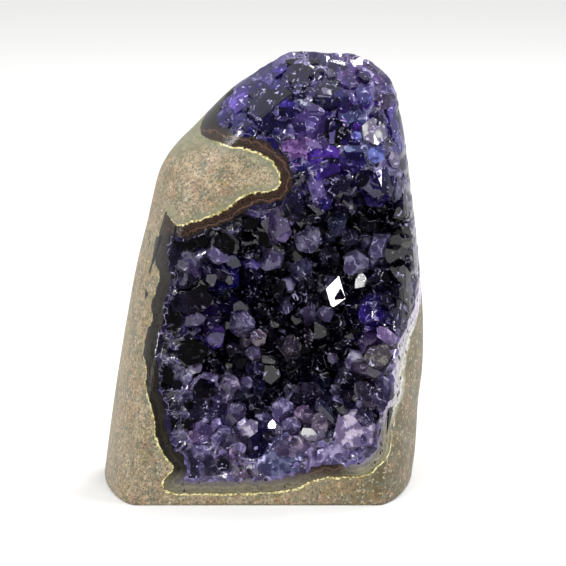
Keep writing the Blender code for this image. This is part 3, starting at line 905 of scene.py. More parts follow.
@dataclass(frozen=True)
class BasaltFinish(Finish):
    """Basalt, ground and polished at the rim and broken at the back.

    The eye sees a warm grey-brown body clouded with ochre, grey-green and pink, fine dark grains, a dull
    satin polish, and on the broken back rusty stains and small filled bubbles.
    """

    name: str = "basalt_ground_and_broken"
    body: str = "#ADA086"
    warm: str = "#BBAE94"
    # Laid on the right part: partly the basalt's own olive tint, partly painted shade.
    olive: str = "#5A5030"
    broken: str = "#6A5C4E"
    mottle_mm: float = 5.0
    cloud_mm: float = 4.2
    stain_mm: float = 14.0
    bubble_mm: float = 5.5
    grain_mm: float = 0.6
    small_grain_mm: float = 0.33
    fine_mm: float = 0.9
    pepper_mm: float = 0.42
    veins_per_cloud: float = 9.0
    relief_mm: float = 0.35

    def build(self) -> bpy.types.Material:
        """Builds the material, which reads "tongue", "rind", "olive" and "polish" from the mesh.

        Returns:
            The material.
        """
        made, tree, shader = self.start()
        place = add_node(tree, "TexCoord", {}).outputs["Object"]
        tongue, near_rind, olive, polish = marks(tree, "tongue", "rind", "olive", "polish")
        mottle = clouds(tree, place, per_mm(self.mottle_mm), 5.0)
        cloud = clouds(tree, place, per_mm(self.cloud_mm), 7.0, 0.74)
        fine = clouds(tree, place, per_mm(self.fine_mm), 4.0, 0.7)
        pepper = clouds(tree, place, per_mm(self.pepper_mm), 2.0)
        stain = clouds(tree, place, per_mm(self.stain_mm), 5.0, 0.6)
        grain = cells(tree, place, per_mm(self.grain_mm))
        small = cells(tree, place, per_mm(self.small_grain_mm))
        bubble = cells(tree, place, per_mm(self.bubble_mm))[3]
        vein = borders(tree, cloud[3], self.veins_per_cloud)
        shade = layered(tree, "#645A4C", (shown(tree, fine[0], 0.3, 0.7), "#ABA08E"))
        edging = shown(tree, fine[0], 0.3, 0.55, near_rind)
        colour = layered(
            tree,
            self.body,
            (tongue, self.warm),
            # Darker and olive to the right: partly the basalt's own tint, partly painted shade.
            (olive, self.olive),
            (shown(tree, mottle[0], 0.4, 0.66, 0.3), self.broken),
            (shown(tree, cloud[0], 0.5, 0.6, 0.65), "#98844F"),
            (shown(tree, cloud[1], 0.5, 0.6, 0.75), "#6C7668"),
            (shown(tree, cloud[2], 0.5, 0.62, 0.6), "#AC8671"),
            (shown(tree, grain[0], 0.74, 0.82, 0.7), "#77765F"),
            (shown(tree, grain[1], 0.84, 0.9, 0.6), "#CFC4AC"),
            (shown(tree, small[2], 0.8, 0.88, 0.8), "#574C3F"),
            (0.5, shade, "OVERLAY"),
            (shown(tree, pepper[0], 0.59, 0.66, 0.65), "#3A3428"),
            (shown(tree, vein, 0.045, 0.01, 0.4), "#4A4636"),
            (shown(tree, edging, 0.0, 0.9, 0.75), "#6B705A"),
        )
        weathered = layered(
            tree,
            self.broken,
            (shown(tree, mottle[0], 0.38, 0.68), "#857460"),
            (shown(tree, stain[0], 0.52, 0.62, 0.6), "#6E4E34"),
            (shown(tree, stain[1], 0.52, 0.6, 0.6), "#565A48"),
            (shown(tree, bubble, 0.19, 0.12), layered(tree, "#3E5A48", (stain[2], "#C9C4AE"))),
            (shown(tree, grain[1], 0.6, 0.8), "#4B4A3A"),
            (shown(tree, small[0], 0.88, 0.94), "#9E917B"),
        )
        rough_part = scaled(tree, polish, -1.0, 1.0)
        colour = layered(tree, colour, (product(tree, rough_part, 0.8), weathered))
        roughness = scaled(tree, rough_part, 0.4, scaled(tree, fine[0], 0.18, 0.42))
        self.surface(tree, shader, colour, roughness, 1.5)
        height = scaled(tree, grain[3], 0.35, fine[0])
        self.relief(tree, shader, height, scaled(tree, rough_part, 0.7, 0.05), self.relief_mm)
        return made


@dataclass(frozen=True)
class AgateFinish(Finish):
    """Banded agate, polished: a ragged yellow-green rind line, then thin bands.

    The eye sees dark red-brown bands round the tongue, near-black at the left, and at the lower right and
    along the base a pale grey to olive band with small cavities in it, painted near-black as the shade
    inside them.
    """

    name: str = "agate_banded_polished"
    thickness_mm: float = 3.5
    brown: tuple[str, ...] = (
        "#4A3322", "#1C130F", "#3B271B", "#20150F", "#38241A",
        "#17100C", "#5A4034", "#1E1410", "#2E1E19", "#0F0A0A",
    )  # fmt: skip
    black: tuple[str, ...] = ("#2A2418", "#100D0A", "#17130F", "#2C251A", "#0E0C0A", "#1D1914", "#0F0D12")
    white: tuple[str, ...] = ("#8A866E", "#A2A294", "#D2D1CA", "#9C9AA0", "#C4C2C8", "#9A94A2", "#B2AAC0")
    olive: tuple[str, ...] = ("#6E6A52", "#86816A", "#75705F", "#8D8876", "#6F6A66", "#827E84", "#7A7488")
    first_band: float = 0.04
    line_phase: float = 62.0
    wander_mm: float = 2.2
    speck_mm: float = 0.7
    cavity_mm: float = 1.6
    cavity_stretch: tuple[float, float, float] = (1.7, 1.0, 0.75)
    relief_mm: float = 0.4

    def build(self) -> bpy.types.Material:
        """Builds the material, which reads "inwards", "pale", "white" and "left" from the mesh.

        Returns:
            The material.
        """
        made, tree, shader = self.start()
        place = add_node(tree, "TexCoord", {}).outputs["Object"]
        inwards, pale, white, left = marks(tree, "inwards", "pale", "white", "left")
        wander = clouds(tree, place, per_mm(self.wander_mm), 7.0, 0.6)
        speck = clouds(tree, place, per_mm(self.speck_mm), 3.0)
        depth = product(tree, inwards, 1 / self.thickness_mm)
        share = scaled(tree, wander[0], 0.9, scaled(tree, depth, 1.0, -0.45))
        bands = []
        for tones in (self.brown, self.black, self.white, self.olive):
            step = (1 - self.first_band) / (len(tones) - 1)
            stops = [(self.first_band + step * i, tone) for i, tone in enumerate(tones)]
            bands.append(add_node(tree, "ValToRGB", {"Fac": share}, stops=stops).outputs["Color"])
        phase = product(tree, share, self.line_phase)
        lines = add_node(tree, "Math", {0: phase}, operation="SINE").outputs[0]
        line = shown(tree, lines, 0.2, 1.0, shown(tree, wander[1], 0.4, 0.62, 0.6))
        flat = add_node(tree, "Mapping", {"Vector": place, "Scale": self.cavity_stretch}).outputs[0]
        # Small cavities, sunk by the relief; the near-black laid on them is painted shade inside them.
        hole = shown(
            tree,
            cells(tree, flat, per_mm(self.cavity_mm))[3],
            0.34,
            0.2,
            pale,
            shown(tree, share, 0.15, 0.35),
            shown(tree, wander[0], 0.42, 0.52),
        )
        outside = add_node(tree, "Math", {0: pale, 1: left}, operation="MAXIMUM").outputs[0]
        width = scaled(tree, shown(tree, speck[1], 0.38, 0.6), 0.12, 0.035)
        width = product(tree, width, scaled(tree, outside, -0.55, 1.0))
        across = add_node(tree, "Math", {0: depth, 1: width}, operation="DIVIDE").outputs[0]
        rind = layered(tree, "#8F8446", (shown(tree, speck[2], 0.4, 0.6), "#DCD3A2"))
        colour = layered(
            tree,
            layered(tree, bands[0], (left, bands[1])),
            (pale, layered(tree, bands[3], (white, bands[2]))),
            (line, "#0B0807", "MULTIPLY"),
            (0.3, layered(tree, "#3A332C", (speck[0], "#D0C8BC")), "OVERLAY"),
            (hole, "#0B0908"),
            (shown(tree, across, 1.1, 0.75), rind),
        )
        self.surface(tree, shader, colour, scaled(tree, speck[0], 0.16, 0.12), 1.54)
        self.relief(tree, shader, scaled(tree, hole, -1.4, product(tree, lines, 0.03)), 0.6, self.relief_mm)
        return made


@dataclass(frozen=True)
class MassiveFinish(Finish):
    """Massive amethyst, ground and polished: intergrown crystals cut through, with pale seams and veils.

    The eye sees a mosaic of violet, indigo and near-black grains, each zoned, with lilac-white seams.
    """

    name: str = "amethyst_massive_polished"
    grain_mm: float = 6.0
    flake_mm: float = 2.3
    veil_mm: float = 3.6
    warp_mm: float = 7.0
    warp_reach: float = 3.5 * MM
    zone_frequency: float = 30.0
    flake_tilt: float = 260.0
    relief_mm: float = 1.0
    palette: tuple[tuple[float, str], ...] = (
        (0.0, "#0A0616"),
        (0.22, "#1C1244"),
        (0.42, "#2E2490"),
        (0.58, "#42289A"),
        (0.74, "#5D3AAE"),
        (0.88, "#8B78C8"),
        (1.0, "#C9BFE6"),
    )

    def build(self) -> bpy.types.Material:
        """Builds the material, which reads "tone" from the mesh.

        Returns:
            The material.
        """
        made, tree, shader = self.start()
        place = add_node(tree, "TexCoord", {}).outputs["Object"]
        tone, veiled = self.paint(tree)
        warp = {0: clouds(tree, place, per_mm(self.warp_mm), 3.0)[3], 1: (self.warp_reach,) * 3, 2: place}
        bent = add_node(tree, "VectorMath", warp, operation="MULTIPLY_ADD").outputs[0]
        grain = cells(tree, bent, per_mm(self.grain_mm))
        flake = cells(tree, bent, per_mm(self.flake_mm), distance="MANHATTAN")
        seam = borders(tree, bent, per_mm(self.grain_mm))
        crack = borders(tree, bent, per_mm(self.flake_mm))
        crack = shown(tree, crack, 0.05, 0.0, shown(tree, grain[2], 0.45, 0.7))
        veil = clouds(tree, bent, per_mm(self.veil_mm), 8.0, 0.68)[0]
        seam = shown(tree, seam, 0.07, 0.0, shown(tree, veil, 0.42, 0.6), veiled, 0.35)
        zone = {0: product(tree, grain[3], self.zone_frequency)}
        zone = add_node(tree, "Math", zone, operation="SINE").outputs[0]
        own = add_node(tree, "ValToRGB", {"Fac": grain[0]}, stops=self.palette).outputs["Color"]
        colour = layered(
            tree,
            tone,
            (0.3, "#0C0718"),
            (0.4, own, "MULTIPLY"),
            (0.12, own),
            (shown(tree, zone, -0.4, 0.9, 0.35), "#120A2A"),
            (shown(tree, flake[1], 0.7, 1.0, veiled, 0.5), "#A79BD8"),
            (shown(tree, flake[2], 0.62, 0.9, 0.75), "#0A0614"),
            (0.6, "#4A3C78", "MULTIPLY"),
            (shown(tree, veil, 0.6, 0.72, veiled, 0.7), "#CFC6EC"),
            (seam, "#B4AAD8"),
            (product(tree, crack, 0.25), "#B4AAD8"),
        )
        self.surface(tree, shader, colour, 0.09, 1.544)
        tilt = add_node(tree, "VectorMath", {0: flake[4], 1: bent}, operation="DOT_PRODUCT").outputs["Value"]
        height = scaled(tree, crack, -0.25, product(tree, tilt, self.flake_tilt))
        self.relief(tree, shader, height, 0.3, self.relief_mm)
        return made


@dataclass(frozen=True)
class CrystalFinish(Finish):
    """Amethyst crystal faces as grown, clear and glassy, or the finely chipped edges between them.

    The eye sees violet glass, paler at the root and deeper at the tip, with milky veils and fine growth
    lines. The chipped edges are nearly white here and there, partly frosted and partly a painted highlight.
    Patterns follow the crystal's own place in mm.
    """

    name: str = "amethyst_crystal_glassy"
    chipped_and_highlit: bool = False
    veils_per_mm: float = 0.5
    blotches_per_mm: float = 0.33
    chip_highlights_per_mm: float = 0.9
    line_mm: float = 0.45
    relief_mm: float = 0.12

    def build(self) -> bpy.types.Material:
        """Builds the material, which reads "tone", "grow", "rise" and "pale" from the mesh.

        Returns:
            The material.
        """
        made, tree, shader = self.start()
        grow = add_node(tree, "Attribute", {}, attribute_name="grow").outputs["Vector"]
        tone, veiled = self.paint(tree)
        pale, rise = marks(tree, "pale", "rise")
        veil = clouds(tree, grow, self.veils_per_mm, 9.0, 0.66, 1.1)[0]
        blotch = clouds(tree, grow, self.blotches_per_mm, 6.0, 0.6)[0]
        wisp = shown(tree, veil, 0.57, 0.66, veiled)
        tip = shown(tree, rise, 0.3, 0.9, scaled(tree, pale, -1.0, 1.0), 0.6)
        colour = layered(
            tree,
            tone,
            (0.78, "#4A2C74", "MULTIPLY"),
            (shown(tree, blotch, 0.47, 0.6), tone),
            (shown(tree, rise, 0.4, 0.0, 0.25), "#5A4E8C"),
            (tip, "#3A2064", "MULTIPLY"),
            (product(tree, wisp, 0.85), "#C9C2EA"),
        )
        # Edges nearly white in places: partly frosted chips, partly a painted highlight along the edge.
        if self.chipped_and_highlit:
            chips_and_highlights = clouds(tree, grow, self.chip_highlights_per_mm, 3.0)[0]
            colour = layered(tree, colour, (shown(tree, chips_and_highlights, 0.5, 0.62, veiled, 0.8), "#D9D4F0"))
        self.surface(tree, shader, colour, scaled(tree, veil, 0.06, 0.01), 1.544)
        clear = scaled(tree, pale, -0.5, scaled(tree, wisp, -0.6, 0.88))
        tree.links.new(clear, shader.inputs["Transmission Weight"])
        lines = {"Vector": grow, "Scale": 0.5 / self.line_mm, "Distortion": 1.6, "Detail Scale": 1.2}
        steps = add_node(tree, "TexWave", lines, bands_direction="Z").outputs["Fac"]
        self.relief(tree, shader, steps, 0.025, self.relief_mm)
        return made


@dataclass(frozen=True)
class PaperFinish(Finish):
    """White background paper: matt, a touch uneven, painted shade near the stone, painted light far off."""

    name: str = "paper_white_matt"
    near: tuple[str, str] = ("#D6D6D5", "#DADAD9")
    far: str = "#F4F4F3"
    cloud_mm: float = 60.0
    reach: tuple[float, float] = (0.2, 0.9)

    def build(self) -> bpy.types.Material:
        """Builds the material.

        Returns:
            The material.
        """
        made, tree, shader = self.start()
        place = add_node(tree, "TexCoord", {}).outputs["Object"]
        away = add_node(tree, "VectorMath", {0: place}, operation="LENGTH").outputs["Value"]
        uneven = clouds(tree, place, per_mm(self.cloud_mm), 3.0)[0]
        # Painted light and shade: the paper is darker near the stone and lighter far off, to even out the
        # lamps.
        painted_light_far = shown(tree, away, *self.reach)
        colour = layered(tree, self.near[0], (uneven, self.near[1]), (painted_light_far, self.far))
        self.surface(tree, shader, colour, 0.85, 1.5)
        return made


# ---- Crystals --------------------------------------------------------------------------------------------
@dataclass
class ConvexSolid:
    """A convex body as a list of flat faces, each an array of corners."""

    faces: list[np.ndarray]

    def clip(self, point: np.ndarray, normal: np.ndarray) -> None:
        """Cuts away what lies beyond a plane and closes the cut.

        Args:
            point: A point of the plane.
            normal: The plane's normal, towards the part that goes.
        """
        kept, rim = [], []
        for face in self.faces:
            away = (face - point) @ normal
            if (away <= 0).all():
                kept.append(face)
                continue
            corners = []
            for i in range(len(face)):
                a, b, from_a, from_b = face[i - 1], face[i], away[i - 1], away[i]
                if from_a * from_b < 0:
                    corners.append(a + (b - a) * from_a / (from_a - from_b))
                    rim.append(corners[-1])
                if from_b <= 0:
                    corners.append(b)
            if len(corners) > 2:
                kept.append(np.array(corners))
        self.faces = kept
        if len(rim) > 2:
            edge = np.array(rim)
            centre = edge.mean(0)
            spokes, first = edge - centre, edge[0] - centre
            side = np.cross(normal, first)
            across, along = (spokes @ way / np.linalg.norm(way) for way in (side, first))
            self.faces.append(edge[np.argsort(np.arctan2(across, along))][::2])


@dataclass
class QuartzCrystal:
    """One crystal: a six-sided prism with a six-faced point. Lengths are in metres."""

    root: Vector
    direction: Vector
    width: float
    height: float
    turn: float
    offsets: np.ndarray
    sunk: float = 2.5 * MM
    face_angle: float = math.radians(38.2)

    def tip_normals(self) -> list[np.ndarray]:
        """The outward normals of the six tip faces, in the crystal's own frame.

        Returns:
            Unit vectors.
        """
        around = [math.pi / 3 * (i + 0.5) for i in range(6)]
        flat, up = math.cos(self.face_angle), math.sin(self.face_angle)
        return [np.array([math.cos(a) * flat, math.sin(a) * flat, up]) for a in around]

    def solid(self) -> tuple[ConvexSolid, Matrix]:
        """Shapes the crystal standing on z 0 and finds where it goes.

        Returns:
            The body in its own frame, and the matrix that places it.
        """
        radius = self.width / 2 / math.cos(math.pi / 6)
        angles = [math.pi / 3 * i for i in range(6)]
        low = np.array([(radius * math.cos(a), radius * math.sin(a), -self.sunk) for a in angles])
        high = low.copy()
        high[:, 2] = self.height * 1.6
        faces = [low[::-1], high]
        for i in range(6):
            after = (i + 1) % 6
            faces.append(np.array([low[i], low[after], high[after], high[i]]))
        body = ConvexSolid(faces)
        for offset, normal in zip(self.offsets, self.tip_normals()):
            body.clip(np.array([0, 0, self.height * (1 + offset)]), normal)
        stand = self.direction.to_track_quat("Z", "Y").to_matrix().to_4x4()
        return body, Matrix.Translation(self.root) @ stand @ Matrix.Rotation(self.turn, 4, "Z")


class CrystalCluster:
    """Collects crystals into one mesh, with their colour and growth marks on the vertices."""

    def __init__(self, name: str) -> None:
        """Starts an empty cluster called name.

        Args:
            name: Name of the object.
        """
        self.name = name
        self.points: list[np.ndarray] = []
        self.faces: list[list[int]] = []
        self.marks: list[tuple] = []

    def add(self, crystal: QuartzCrystal, colour: np.ndarray, planes: list[tuple[Vector, Vector]]) -> None:
        """Adds a crystal.

        Args:
            crystal: The crystal.
            colour: Its linear colour, and how freely pale veils show in it.
            planes: Planes that cut it, as point and outward normal in the row frame.
        """
        body, place = crystal.solid()
        back = place.inverted()
        for point, normal in planes:
            local_normal = back.to_3x3() @ normal
            body.clip(np.array(back @ point), np.array(local_normal.normalized()))
        known: dict[tuple, int] = {}
        for face in body.faces:
            corners = []
            for corner in face:
                key = tuple(np.round(corner / (2e-3 * MM)).astype(int))
                if key not in known:
                    known[key] = len(self.points)
                    self.points.append(np.array(place @ Vector(corner)))
                    grow = corner / MM + crystal.offsets[:3] * 900
                    self.marks.append((colour, grow, corner[2] / crystal.height))
                if known[key] not in corners:
                    corners.append(known[key])
            if len(corners) > 2:
                self.faces.append(corners)

    def finish(self, materials: list[bpy.types.Material], edge: float) -> bpy.types.Object:
        """Makes the mesh object.

        Args:
            materials: Finish of the faces, and of the edges.
            edge: Width of the tiny flats along the edges, which catch the light, in metres.

        Returns:
            The object.
        """
        made = new_object(self.name, self.points, self.faces)
        mark(made, "tone", np.array([m[0] for m in self.marks]))
        mark(made, "grow", np.array([m[1] for m in self.marks]))
        mark(made, "rise", np.array([m[2] for m in self.marks]))
        mark(made, "pale", np.array([min(1.0, 2.2 * float(np.mean(m[0][:3]))) for m in self.marks]))
        for finish in materials:
            made.data.materials.append(finish)
        bevel = made.modifiers.new("edges", "BEVEL")
        bevel.width = edge
        bevel.segments = 1
        bevel.material = 1
        bevel.limit_method = "ANGLE"
        bevel.angle_limit = math.radians(20)
        bevel.use_clamp_overlap = True
        graph = bpy.context.evaluated_depsgraph_get()
        flat = bpy.data.meshes.new_from_object(made.evaluated_get(graph))
        made.modifiers.remove(bevel)
        made.data = flat
        return made


# ---- Sub-assemblies --------------------------------------------------------------------------------------
@dataclass
class Layers:
    """The three grown layers of the wall: basalt, agate lining and the bed of massive amethyst."""

    shape: StoneShape
    joint: float = 0.02 * MM

    def build(self) -> list[bpy.types.Object]:
        """Builds and dresses the layers.

        Returns:
            Basalt, agate and bed.
        """
        blank = StoneBlank(self.shape).build()
        lining = self.shape.lining
        cuts = {
            "wall": lambda x, z: self.shape.cavity_y(x, z, 0.0),
            "lining_back": lambda x, z: self.shape.cavity_y(x, z, self.joint),
            "lining_front": lambda x, z: self.shape.cavity_y(x, z, lining),
            "bed_back": lambda x, z: self.shape.cavity_y(x, z, lining + self.joint),
            "druse": self.druse_floor,
        }
        slabs = {name: Slab(name, surface).build() for name, surface in cuts.items()}
        basalt = self.layer("basalt_wall", blank, slabs["wall"], None)
        agate = self.layer("agate_bands", blank, slabs["lining_front"], slabs["lining_back"])
        bed = self.layer("amethyst_ground_bed", blank, slabs["druse"], slabs["bed_back"])
        self.dress_basalt(basalt)
        self.dress_agate(agate)
        self.dress_bed(bed)
        for spare in (blank, *slabs.values()):
            bpy.data.objects.remove(spare)
        return [basalt, agate, bed]

    def druse_floor(self, x: np.ndarray, z: np.ndarray) -> np.ndarray:
        """The druse's floor with the small lumps of its crystal crust.

        Args:
            x: Points' x in metres.
            z: Points' z in metres.

        Returns:
            The y of each point in metres.
        """
        flat = np.stack([x, np.zeros(len(x)), z], axis=-1)
        inside = np.clip(distance_inside(x, z, self.shape.druse) / (2 * MM), 0, 1)
        crust = 0.8 * MM * smooth_noise(flat, 2.2 * MM, 6.1) + 0.4 * MM * smooth_noise(flat, 1.0 * MM, 1.4)
        quartz = np.clip((self.shape.way_into_cavity(x, z) - self.shape.lining - 0.5 * MM) / MM, 0, 1)
        gaps = quartz * (0.9 + 2.4 * smooth_noise(flat, 2.6 * MM, 7.7)) * MM
        ground = self.shape.skin_y(x, z, Side.FRONT) + np.where(quartz > 0, gaps, -3 * MM)
        return np.maximum(self.shape.druse_y(x, z) + inside * crust, ground)

    def layer(
        self, name: str, blank: bpy.types.Object, front: bpy.types.Object, behind: bpy.types.Object | None
    ) -> bpy.types.Object:
        """Cuts one layer out of the blank.

        Args:
            name: Name of the piece.
            blank: The whole stone.
            front: Cutter whose surface is the layer's front.
            behind: Cutter whose surface is the layer's back, or None.

        Returns:
            The layer.
        """
        made = bpy.data.objects.new(name, blank.data.copy())
        bpy.context.scene.collection.objects.link(made)
        carve(made, front, "INTERSECT")
        if behind is not None:
            carve(made, behind, "DIFFERENCE")
        drop_crumbs(made, 400)
        made.data.materials.clear()
        made.data.shade_smooth()
        made.data.set_sharp_from_angle(angle=math.radians(38))
        return made

    def dress_basalt(self, piece: bpy.types.Object) -> None:
        """Marks the tongue, the rind's margin and the polish, and gives the basalt its finish.

        Args:
            piece: Mesh object.
        """
        points = mesh_points(piece)
        x, y, z = points.T
        away = -self.shape.way_into_cavity(x, z)
        front = ramp(y - self.shape.mid_lean * z, 3, 0)
        tongue = ramp(z, 66, 69) * ramp(x, -27, -24)
        mark(piece, "tongue", tongue)
        # Darker and olive to the right: partly the basalt's own tint, partly painted shade.
        mark(piece, "olive", ramp(x, 10, 30))
        mark(piece, "rind", ramp(away, 3, 0) * front * (0.3 + 0.7 * tongue))
        mark(piece, "polish", front)
        piece.data.materials.append(BasaltFinish().build())
        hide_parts("basalt_matrix")

    def dress_agate(self, piece: bpy.types.Object) -> None:
        """Marks the bands' places and gives the agate its finish.

        Args:
            piece: Mesh object.
        """
        x, _, z = mesh_points(piece).T
        mark(piece, "inwards", self.shape.way_into_cavity(x, z) / MM)
        right = ramp(x, 19, 25) * ramp(z, 60, 54)
        bottom = ramp(z, 9, 5) * 0.75
        mark(piece, "pale", np.maximum(right, bottom))
        mark(piece, "white", ramp(z, 18, 26))
        mark(piece, "left", ramp(z, 70, 66) * ramp(x, -12, -18))
        piece.data.materials.append(AgateFinish().build())
        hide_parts("agate_lining")

    def dress_bed(self, piece: bpy.types.Object) -> None:
        """Marks the colour patches and gives the bed its finish.

        Args:
            piece: Mesh object.
        """
        x, _, z = mesh_points(piece).T
        mark(piece, "tone", QuartzColour().at(x, z, self.shape))
        piece.data.materials.append(MassiveFinish().build())
        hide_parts("amethyst_bed")


@dataclass
class Druse:
    """The open druse: the large crystals, and the crust of smaller ones between them."""

    shape: StoneShape
    edge: float = 0.1 * MM
    skin_gap: float = 0.03 * MM
    back_gap: float = 3.2 * MM
    shining: tuple[tuple[int, float], ...] = (
        (31, 0.2), (11, 0.16), (13, 0.2), (22, 0.2), (36, 0.12),
        (32, 0.2), (42, 0.15), (28, 0.16), (17, 0.14),
    )  # fmt: skip
    half_way: Vector = field(default_factory=lambda: Vector((-0.303, -0.813, 0.497)).normalized())
    table_number: int = 20
    table_size: tuple[float, float] = (6.2 * MM, 4.4 * MM)
    medium_width: tuple[float, float] = (3.0 * MM, 6.0 * MM)
    small_width: tuple[float, float] = (1.1 * MM, 2.6 * MM)
    ground_large_width: tuple[float, float] = (6.0 * MM, 12.0 * MM)
    ground_width: tuple[float, float] = (2.4 * MM, 5.5 * MM)
    medium_count: int = 260
    small_count: int = 380
    ground_large_count: int = 70
    ground_count: int = 320
    ground_root: float = 5.0 * MM

    def build(self) -> list[bpy.types.Object]:
        """Builds every crystal.

        Returns:
            The large crystals one by one, then the crusts.
        """
        rng = np.random.default_rng(SEED)
        chipped_and_highlit = CrystalFinish("amethyst_crystal_chipped_edge_highlight", chipped_and_highlit=True)
        finish = [CrystalFinish().build(), chipped_and_highlit.build()]
        colours = QuartzColour()
        shining = dict(self.shining)
        made = []
        taken = []
        for number, (x, z, width, height, right, up, turn) in enumerate(LARGE_CRYSTALS, 1):
            x, z = x * MM, z * MM
            cluster = CrystalCluster(f"amethyst_point_{number:02d}")
            colour = colours.at(np.array([x]), np.array([z]), self.shape)[0]
            nod = Matrix.Rotation(math.radians(90 - up), 3, "X")
            axis = Matrix.Rotation(math.radians(right), 3, "Z") @ nod @ Vector((0, 0, 1))
            crystal = self.crystal(x, z, width * MM, height * MM, axis, math.radians(turn), rng)
            self.shine(crystal, shining.get(number, 0.0))
            planes = self.planes(crystal)
            if number == self.table_number:
                planes += self.table_planes(crystal)
            cluster.add(crystal, self.varied(colour, rng, 0.22), planes)
            piece = cluster.finish(finish, self.edge)
            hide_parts(f"crystal_{number:02d}")
            made.append(piece)
            taken.append((x, z, width * MM * 0.42))
        # Crystals in the strong patches' colours; two of these colours are painted highlights.
        features = CrystalCluster("amethyst_points_marked")
        for patch_x, patch_z, radius, hex_colour, strength in COLOUR_PATCHES:
            x, z = patch_x * MM, patch_z * MM
            circles = np.array(taken)
            apart = np.hypot(circles[:, 0] - x, circles[:, 1] - z)
            if strength < 0.8 or (apart < circles[:, 2] * 0.9).any():
                continue
            ground = bool(self.shape.hollow(np.array([x]), np.array([z]))[0] < 0.9 * MM)
            width = min(radius * 1.5, 5.5) * MM
            crystal = self.filler(x, z, width, ground, rng)
            paint = np.array([*(0.72 * np.array(linear(hex_colour))), 1.0])
            features.add(crystal, paint, self.planes(crystal))
            taken.append((x, z, width * 0.4))
        made.append(features.finish(finish, self.edge))
        for name, widths, count, ground in (
            ("amethyst_points_medium", self.medium_width, self.medium_count, False),
            ("amethyst_points_small", self.small_width, self.small_count, False),
            ("amethyst_grains_ground_large", self.ground_large_width, self.ground_large_count, True),
            ("amethyst_grains_ground_small", self.ground_width, self.ground_count, True),
        ):
            cluster = CrystalCluster(name)
            for x, z, width in self.spread(taken, widths, count, ground, rng):
                colour = colours.at(np.array([x]), np.array([z]), self.shape)[0]
                crystal = self.filler(x, z, width, ground, rng)
                cluster.add(crystal, self.varied(colour, rng), self.planes(crystal))
            made.append(cluster.finish(finish, self.edge * 0.7))
        return made

    def filler(self, x: float, z: float, width: float, ground: bool, rng: Any) -> QuartzCrystal:
        """Shapes a crystal of the crust, or one that the grinding cut through.

        Args:
            x: Place in metres.
            z: Place in metres.
            width: Across the prism in metres.
            ground: Whether it stands in the ground quartz.
            rng: Random numbers.

        Returns:
            The crystal, grown away from the wall with a tilt of its own.
        """
        _, normal = self.shape.tangent(self.shape.druse_y, x, z)
        tilt = Vector(rng.normal(0, 0.5 if ground else 0.34, 3))
        height = self.ground_root * 2.2 if ground else width * rng.uniform(1.0, 1.55)
        crystal = self.crystal(x, z, width, height, (normal + tilt).normalized(), rng.uniform(0, 1.04), rng)
        if ground:
            skin = self.shape.skin_y(np.array([x]), np.array([z]), Side.FRONT)
            crystal.root.y = float(skin[0]) + self.ground_root
        return crystal

    def crystal(
        self, x: float, z: float, width: float, height: float, direction: Vector, turn: float, rng: Any
    ) -> QuartzCrystal:
        """Roots a crystal on the druse's floor.

        Args:
            x: Place of the root in metres.
            z: Place of the root in metres.
            width: Across the prism in metres.
            height: Above the floor in metres.
            direction: Unit vector to its tip.
            turn: Turn about its own axis in radians.
            rng: Random numbers.

        Returns:
            The crystal, with three larger and three smaller tip faces.
        """
        y = float(self.shape.druse_y(np.array([x]), np.array([z]))[0])
        offsets = rng.uniform(-0.03, 0.12, 6) + np.array([0, 0.16, 0, 0.16, 0, 0.16])
        return QuartzCrystal(Vector((x, y, z)), direction, width, height, turn, offsets - offsets.min())

    def shine(self, crystal: QuartzCrystal, share: float) -> None:
        """Makes the tip face that looks up to the left the largest, as the one that grew slowest.

        Args:
            crystal: The crystal, whose offsets change.
            share: How much deeper that face lies, as a share of the height.
        """
        normals = crystal.tip_normals()
        _, place = crystal.solid()
        facing = [(place.to_3x3() @ Vector(n)).dot(self.half_way) for n in normals]
        crystal.offsets[int(np.argmax(facing))] -= share

    def table_planes(self, crystal: QuartzCrystal) -> list[tuple[Vector, Vector]]:
        """A flat oblong face across the tip of the largest crystal, with steep narrow faces round it.

        Args:
            crystal: The crystal.

        Returns:
            A point and an outward direction for each plane.
        """
        up = self.half_way
        along = Vector((0.70, 0.0, -0.71))
        along = (along - up * along.dot(up)).normalized()
        across = Vector((0.95, 0.0, 0.30))
        across = (across - up * across.dot(up)).normalized()
        centre = crystal.root + crystal.direction * crystal.height * 0.64
        found = [(centre, up)]
        for side, size in ((along, self.table_size[0]), (across, self.table_size[1])):
            for sign in (-1, 1):
                found.append((centre + side * sign * size / 2, (side * sign + up * 0.3).normalized()))
        return found

    def planes(self, crystal: QuartzCrystal) -> list[tuple[Vector, Vector]]:
        """Planes that touch the ground face round the crystal, which cut it flush.

        Args:
            crystal: The crystal.

        Returns:
            A point and an outward direction for each plane.
        """
        root = np.array([crystal.root.x, crystal.root.z])
        found = []
        for radius, count in ((0.0, 1), (3.2 * MM, 6), (7.0 * MM, 10)):
            for i in range(count):
                turn = 2 * math.pi * i / count
                way = radius * np.array([math.cos(turn), math.sin(turn)])
                steps = root + np.array([1.0, 0.85, 0.7, 0.5, 0.3, 0.0])[:, None] * way
                on_stone = distance_inside(steps[:, 0], steps[:, 1], self.shape.outline) > 0.35 * MM
                if not on_stone.any():
                    continue
                x, z = steps[np.argmax(on_stone)]
                point, normal = self.shape.tangent(
                    lambda a, b: self.shape.skin_y(a, b, Side.FRONT), float(x), float(z)
                )
                found.append((point - normal * self.skin_gap, normal))
                if distance_inside(np.array([x]), np.array([z]), self.shape.outline)[0] < 9 * MM:
                    point, normal = self.shape.tangent(
                        lambda a, b: self.shape.skin_y(a, b, Side.BACK), float(x), float(z)
                    )
                    found.append((point + normal * self.back_gap, -normal))
        return found + self.side_planes(crystal)

